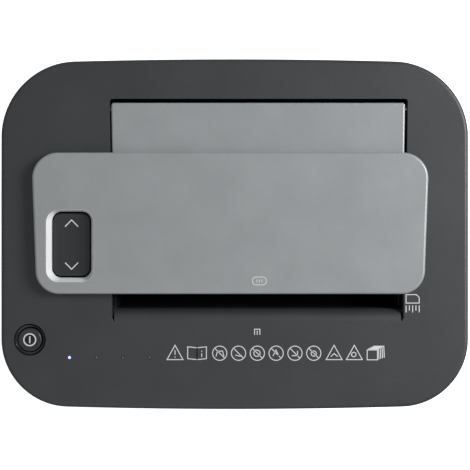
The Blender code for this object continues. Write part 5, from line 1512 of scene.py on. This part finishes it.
# ---------------------------------------------------------------- paper path and cutters
@dataclass
class CutterUnit:
    """Cutter rolls with toothed discs and rubber feed rollers; the plain parts round them are refined in
    build_inner_parts.
    """

    disc_mm: float = 2.1
    gap_mm: float = 2.1
    teeth: int = 9
    turn_per_disc: float = 0.23
    tread_ribs: int = 24
    tread_steps: int = 144
    tread_depth: float = 0.7 * MM
    roller_bore: float = 4.3 * MM

    def roll(self, node: str) -> None:
        """Cutter roll whose wide discs are stacks of thin toothed ones."""
        low, high = node_box(node)
        centre = (low + high) / 2
        tip = (high.z - low.z) / 2
        core, journal = tip * 0.63, tip * 0.31
        source = frame["nodes"][node].data
        reached = [(v.co.x, math.hypot(v.co.y - centre.y, v.co.z - centre.z)) for v in source.vertices]
        wide = sorted({round(x, 5) for x, reach in reached if reach > tip * 0.97})
        bar_low = min(x for x, reach in reached if reach > core * 0.97)
        bar_high = max(x for x, reach in reached if reach > core * 0.97)
        profile = [(low.x, journal * 0.85), (low.x + 1 * MM, journal), (bar_low, journal),
                   (bar_low, core), (bar_high, core), (bar_high, journal),
                   (high.x - 1 * MM, journal), (high.x, journal * 0.85)]
        roll = turned(node + "_core", profile, centre, "X", 40)
        dress(ease(roll, 0.15), TurnedSteel(), body_of(node), node)
        points: list[Point] = []
        faces: list[tuple[int, ...]] = []
        pitch = (self.disc_mm + self.gap_mm) * MM
        for left, right in zip(wide[::2], wide[1::2]):
            count = max(1, int((right - left + self.gap_mm * MM) / pitch))
            span = count * pitch - self.gap_mm * MM
            for index in range(count):
                start = (left + right - span) / 2 + index * pitch
                self.disc(points, faces, start, centre, tip, index * self.turn_per_disc)
        discs = solid(node + "_discs", points, faces)
        dress(ease(discs, 0.0), TurnedSteel(), body_of(node))

    def disc(self, points: list[Point], faces: list[tuple[int, ...]], left: float, centre: Vector,
             tip: float, turn: float) -> None:
        """Add one disc with hooked teeth to a growing mesh.

        Args:
            points: points of the mesh so far.
            faces: faces of the mesh so far.
            left: X of the disc's left face.
            centre: a point on the roll's axis.
            tip: radius over the teeth.
            turn: angle that the first tooth is turned by.
        """
        outline = []
        for tooth in range(self.teeth):
            middle = turn + 2 * math.pi * tooth / self.teeth
            for shift, reach in ((0.0, 1.0), (0.10, 0.88), (0.38, 0.93)):
                angle = middle + shift * 2 * math.pi / self.teeth * 2
                outline.append((centre.y + tip * reach * math.cos(angle),
                                centre.z + tip * reach * math.sin(angle)))
        count, first = len(outline), len(points)
        for x in (left, left + self.disc_mm * MM):
            points += [(x, y, z) for y, z in outline]
        for index in range(count):
            after = (index + 1) % count
            faces.append((first + index, first + after, first + count + after, first + count + index))
        faces.append(tuple(first + index for index in reversed(range(count))))
        faces.append(tuple(first + count + index for index in range(count)))

    def feed_roller(self, node: str) -> None:
        """Rubber roller with a ribbed tread."""
        low, high = node_box(node)
        centre = (low + high) / 2
        radius, bevel = (high.z - low.z) / 2, 0.6 * MM
        per_rib = self.tread_steps // self.tread_ribs
        ring_sets = []
        for x, shrink in ((low.x, bevel), (low.x + bevel, 0.0), (high.x - bevel, 0.0), (high.x, bevel)):
            ring = []
            for step in range(self.tread_steps):
                angle = 2 * math.pi * step / self.tread_steps
                rib, place = divmod(step, per_rib)
                valley = self.tread_depth if rib % 2 == 0 and place >= per_rib // 2 else 0.0
                reach = radius - shrink - valley
                ring.append((x, centre.y + reach * math.cos(angle), centre.z + reach * math.sin(angle)))
            ring_sets.append(ring)
        for x in (high.x, low.x):
            bore = circle(centre.y, centre.z, self.roller_bore, self.tread_steps)
            ring_sets.append([(x, y, z) for y, z in bore])
        roller = loft(node + "_ribbed", ring_sets, closed=True)
        dress(ease(roller, 0.0), MouldedRubber(), body_of(node), node)

    def build(self) -> None:
        """Build the moving parts of the paper path."""
        for side in ("front", "rear"):
            self.roll(f"cutter_roll_{side}")
        for side in ("left", "right"):
            self.feed_roller(f"feed_roller_{side}")


# ---------------------------------------------------------------- cabinet
@dataclass
class Cabinet:
    """Cabinet walls, base board, back panel with its screws, and the power inlet."""

    finish: Finish = SparkErodedAbs()
    opening_half: float = 160 * MM
    stem_hole_radius: float = 5.3 * MM
    stem_play: float = 0.3 * MM

    def build_walls(self) -> None:
        """Three-sided shell, base board and the shelf under the head."""
        low, high = node_box("cabinet_shell")
        panel_low, panel_high = node_box("back_panel")
        shell = PLAN.ring("cabinet_walls", low.z, high.z)
        front_gap = box("front_gap", (-PLAN.width, -PLAN.depth, 0), (PLAN.width, low.y, high.z + OVERCUT))
        rear_gap = box("rear_gap", (-self.opening_half, 0, panel_low.z + 10 * MM),
                       (self.opening_half, PLAN.depth, panel_high.z - 10 * MM))
        cut(shell, front_gap, rear_gap)
        dress(ease(shell, 0.5), self.finish, "base", "cabinet_shell")

        low, high = node_box("base_board")
        board = prism("base_board_fine", PLAN.outline(PLAN.cabinet_inset), low.z, high.z)
        stems = []
        for side in ("left", "right"):
            for row in ("front", "rear"):
                stem_top = node_box(f"castor_fork_{row}_{side}")[1].z + self.stem_play
                hole = [(low.z - OVERCUT, self.stem_hole_radius), (stem_top, self.stem_hole_radius)]
                pivot = frame_joint(f"castor_swivel_{row}_{side}")
                stems.append(turned(f"stem_hole_{side}_{row}", hole, pivot, "Z", 24))
        cut(board, *stems)
        dress(ease(board, 0.8), MelamineBoard(), "base", "base_board")

        low, high = node_box("head_base")
        shelf = prism("head_shelf", PLAN.outline(0.5 * MM), low.z, high.z)
        plate_left, plate_right = node_box("side_plate_left")[1].x, node_box("side_plate_right")[0].x
        roll_front, roll_rear = node_box("cutter_roll_front")[0].y, node_box("cutter_roll_rear")[1].y
        drop = box("shred_drop", (plate_left + 12 * MM, roll_front - 4 * MM, low.z - OVERCUT),
                   (plate_right - 12 * MM, roll_rear + 4 * MM, high.z + OVERCUT))
        cut(shelf, drop)
        dress(ease(shelf, 0.3), MatteBlackAbs(), "base", "head_base")

    def build_back(self) -> None:
        """Back panel with pressed vents, its screws, and the inlet with brass blades."""
        refined("back_panel", self.finish, 0.6)
        low, high = node_box("back_panel")
        screws = []
        for x_sign in (-1, 1):
            for z in (low.z + 5 * MM, (low.z + high.z) / 2, high.z - 5 * MM):
                centre = (x_sign * (high.x - 5 * MM), 0, z)
                screws.append(self.screw(f"screw_{x_sign}_{z:.3f}", centre, high.y))
        group = join(screws[0], *screws[1:])
        group.name = "back_panel_screws"
        dress(ease(group, 0.15), ZincPlatedSteel(), "base")
        refined("power_inlet", MatteBlackAbs(), 0.5)
        low, high = node_box("power_inlet")
        middle = (low + high) / 2
        blades = []
        for shift, rise in ((-7, -1.5), (0, 2), (7, -1.5)):
            x, z = middle.x + shift * MM, middle.z + rise * MM
            blades.append(box(f"blade_{shift}", (x - 1.06 * MM, high.y - 14 * MM, z - 2.06 * MM),
                              (x + 1.06 * MM, high.y - 4.9 * MM, z + 2.06 * MM)))
        contacts = join(blades[0], *blades[1:])
        contacts.name = "inlet_blades"
        dress(ease(contacts, 0.2), StampedBrass(), "base")

    @staticmethod
    def screw(name: str, centre: Point, face: float) -> bpy.types.Object:
        """Pan-head screw with a cross recess, on a face towards +Y."""
        rings = []
        for depth, radius in ((-0.5, 3.2), (0.6, 3.2), (1.2, 2.8), (1.6, 2.0), (1.75, 0.6)):
            round_ring = circle(centre[0], centre[2], radius * MM, 20)
            rings.append([(x, face + depth * MM, z) for x, z in round_ring])
        head = loft(name, rings)
        slots = [box(name + "_slot_a", (centre[0] - 1.7 * MM, face + 0.7 * MM, centre[2] - 0.35 * MM),
                     (centre[0] + 1.7 * MM, face + 3 * MM, centre[2] + 0.35 * MM)),
                 box(name + "_slot_b", (centre[0] - 0.35 * MM, face + 0.7 * MM, centre[2] - 1.7 * MM),
                     (centre[0] + 0.35 * MM, face + 3 * MM, centre[2] + 1.7 * MM))]
        return cut(head, *slots)

    def build(self) -> None:
        """Build the cabinet."""
        self.build_walls()
        self.build_back()
        for side in ("left", "right"):
            refined(f"slide_rail_{side}", MouldedNylon(), 0.6)


# ---------------------------------------------------------------- bin
@dataclass
class Bin:
    """Pull-out bin: fascia round the front corners, tub, sight window and grip."""

    finish: Finish = SparkErodedAbs()
    window: tuple[float, float] = (60 * MM, 200 * MM)
    window_corner: float = 12 * MM
    grip: tuple[float, float] = (130 * MM, 36 * MM)

    def build(self) -> None:
        """Build the bin."""
        low, high = node_box("bin_front")
        grip_low, grip_high = node_box("bin_handle")
        pane_low, pane_high = node_box("bin_window")
        fascia = PLAN.ring("bin_fascia", low.z, high.z)
        middle = low.y + 40 * MM
        pane_z = (pane_low.z + pane_high.z) / 2
        behind = box("behind_fascia", (-PLAN.width, high.y, 0), (PLAN.width, PLAN.depth, high.z + OVERCUT))
        outline = rounded_rectangle((0, pane_z), self.window, self.window_corner, 0.0, 12)
        flared = rounded_rectangle((0, pane_z), self.window, self.window_corner, -1.2 * MM, 12)
        window = loft("window_hole", [[(x, low.y - 5 * MM, z) for x, z in flared],
                                      [(x, low.y + 1.6 * MM, z) for x, z in outline],
                                      [(x, middle, z) for x, z in outline]])
        opening = box("grip_opening", (-self.grip[0] / 2, -PLAN.depth, grip_low.z - 0.3 * MM),
                      (self.grip[0] / 2, middle, grip_high.z + 0.3 * MM))
        cut(fascia, behind, window, opening)
        dress(ease(fascia, 0.7), self.finish, "bin", "bin_front")
        refined("bin_handle", MatteBlackAbs(), 0.8)
        refined("bin_tub", MatteBlackAbs(), 0.7)
        refined("bin_window", SmokedPolycarbonate(), 0.3)


# ---------------------------------------------------------------- castors
@dataclass
class Castor:
    """Twin-cheek stem castor with a treaded wheel, and a ribbed pedal where braked."""

    place: str
    braked: bool

    def build(self) -> None:
        """Build one castor."""
        fork = refined(f"castor_fork_{self.place}", MatteBlackAbs(), 0.5)
        node = f"castor_wheel_{self.place}"
        low, high = node_box(node)
        centre = (low + high) / 2
        radius, half = (high.z - low.z) / 2, (high.x - low.x) / 2
        profile = [(centre.x - half + 1.2 * MM, 3.3 * MM), (centre.x + half - 1.2 * MM, 3.3 * MM)]
        side = [(1.2, 6.0), (0.0, 6.4), (0.0, 8.0), (1.6, 8.8), (1.6, 13.6), (0.0, 14.6), (0.0, 17.6),
                (0.5, 19.0), (1.6, 19.7), (3.2, 20.0)]
        scale = radius / (20 * MM)
        profile += [(centre.x + half - inset * MM, reach * MM * scale) for inset, reach in side]
        profile += [(centre.x - half + inset * MM, reach * MM * scale) for inset, reach in reversed(side)]
        wheel = turned(f"wheel_tyre_{self.place}", profile, centre, "X", 64, bored=True)
        dress(ease(wheel, 0.0), MouldedRubber(), body_of(node), node)
        LOG.info("castor %s: fork %s", self.place, fork.name)
        if self.braked:
            pedal_node = f"castor_brake_{self.place}"
            refined(pedal_node, SparkErodedAbs(), 0.4)
            low, high = node_box(pedal_node)
            ribs = []
            for index in range(4):
                y = low.y + (2.4 + 3.2 * index) * MM
                ribs.append(box(f"rib_{index}", (low.x + 1 * MM, y, high.z - 1.2 * MM),
                                (high.x - 1 * MM, y + 1.2 * MM, high.z)))
            group = ribs[0]
            for other in ribs[1:]:
                join(group, other)
            group.name = f"pedal_ribs_{self.place}"
            dress(ease(group, 0.2), SparkErodedAbs(), body_of(pedal_node))


# ---------------------------------------------------------------- plain inner parts
def build_inner_parts() -> None:
    """Refine the parts whose shape in the frame is already right."""
    nylon, steel, zinc, black = MouldedNylon(), TurnedSteel(), ZincPlatedSteel(), MatteBlackAbs()
    table = {
        black: ("tray_well", "throat_guide", "gear_cover"),
        zinc: ("side_plate_left", "side_plate_right", "tie_rod_front", "tie_rod_rear", "motor"),
        steel: ("cutter_gear_front", "cutter_gear_rear", "motor_pinion", "feed_shaft"),
        nylon: ("stripper_comb_front", "stripper_comb_rear", "idler_gear", "feed_gear", "drive_gear",
                "bearing_front_left", "bearing_rear_left", "bearing_front_right", "bearing_rear_right"),
    }
    for finish, nodes in table.items():
        for node in nodes:
            refined(node, finish, 0.25)


# ---------------------------------------------------------------- studio
@dataclass
class Studio:
    """Pale floor, soft lights and a camera straight above the deck."""

    camera_height: float = 1.0          # above the deck
    framed_width: float = 501.4 * MM    # at deck level
    floor_half: float = 6.0
    floor_colour: str = "#F4F5F6"

    def build(self) -> None:
        """Set up floor, lights, world and camera."""
        size = self.floor_half
        corners = [(-size, -size, 0), (size, -size, 0), (size, size, 0), (-size, size, 0)]
        floor = solid("floor", corners, [(0, 1, 2, 3)])
        material = bpy.data.materials.new("studio_floor")
        material.use_nodes = True
        shader = material.node_tree.nodes["Principled BSDF"]
        shader.inputs["Base Color"].default_value = linear(self.floor_colour)
        shader.inputs["Roughness"].default_value = 0.9
        shader.inputs["Specular IOR Level"].default_value = 0.1
        shader.inputs["Emission Color"].default_value = linear("#FFFFFF")
        shader.inputs["Emission Strength"].default_value = 0.8
        floor.data.materials.append(material)
        floor.visible_glossy = False
        floor.visible_diffuse = False
        self.light("key_light", (1.7, 0.5, 1.85), 0.9, 46.0)
        self.light("fill_light", (-0.4, -1.9, 2.6), 2.4, 10.0)
        world = bpy.data.worlds.new("soft_sky")
        world.use_nodes = True
        sky = world.node_tree.nodes["Background"]
        sky.inputs["Color"].default_value = linear("#FFFFFF")
        sky.inputs["Strength"].default_value = 0.34
        bpy.context.scene.world = world
        bpy.context.scene.view_settings.view_transform = "Standard"
        self.camera()

    def light(self, name: str, place: Point, size: float, power: float) -> None:
        """Square soft light aimed at the deck."""
        lamp = bpy.data.lights.new(name, "AREA")
        lamp.shape = "SQUARE"
        lamp.size = size
        lamp.energy = power
        holder = bpy.data.objects.new(name, lamp)
        holder.location = place
        target = Vector((0, 0, node_box("top_deck")[1].z))
        holder.rotation_euler = (target - Vector(place)).to_track_quat("-Z", "Y").to_euler()
        bpy.context.scene.collection.objects.link(holder)

    def camera(self) -> None:
        """Camera that looks straight down, the rear of the machine at the top."""
        lens = bpy.data.cameras.new("top_camera")
        lens.sensor_width = 36.0
        lens.lens = lens.sensor_width * self.camera_height / self.framed_width
        holder = bpy.data.objects.new("top_camera", lens)
        holder.location = (0.3 * MM, -0.9 * MM, node_box("top_deck")[1].z + self.camera_height)
        bpy.context.scene.collection.objects.link(holder)
        bpy.context.scene.camera = holder


def main() -> None:
    """Build every sub-assembly in order."""
    logging.basicConfig(level=logging.INFO, format="%(name)s: %(message)s")
    deck = HeadCover()
    deck.build()
    deck.marks()
    Lid(deck).build()
    Controls(deck).build()
    CutterUnit().build()
    build_inner_parts()
    Cabinet().build()
    Bin().build()
    for row in ("front", "rear"):
        for side in ("left", "right"):
            Castor(f"{row}_{side}", row == "front").build()
    Studio().build()


if __name__ == "__main__":
    main()
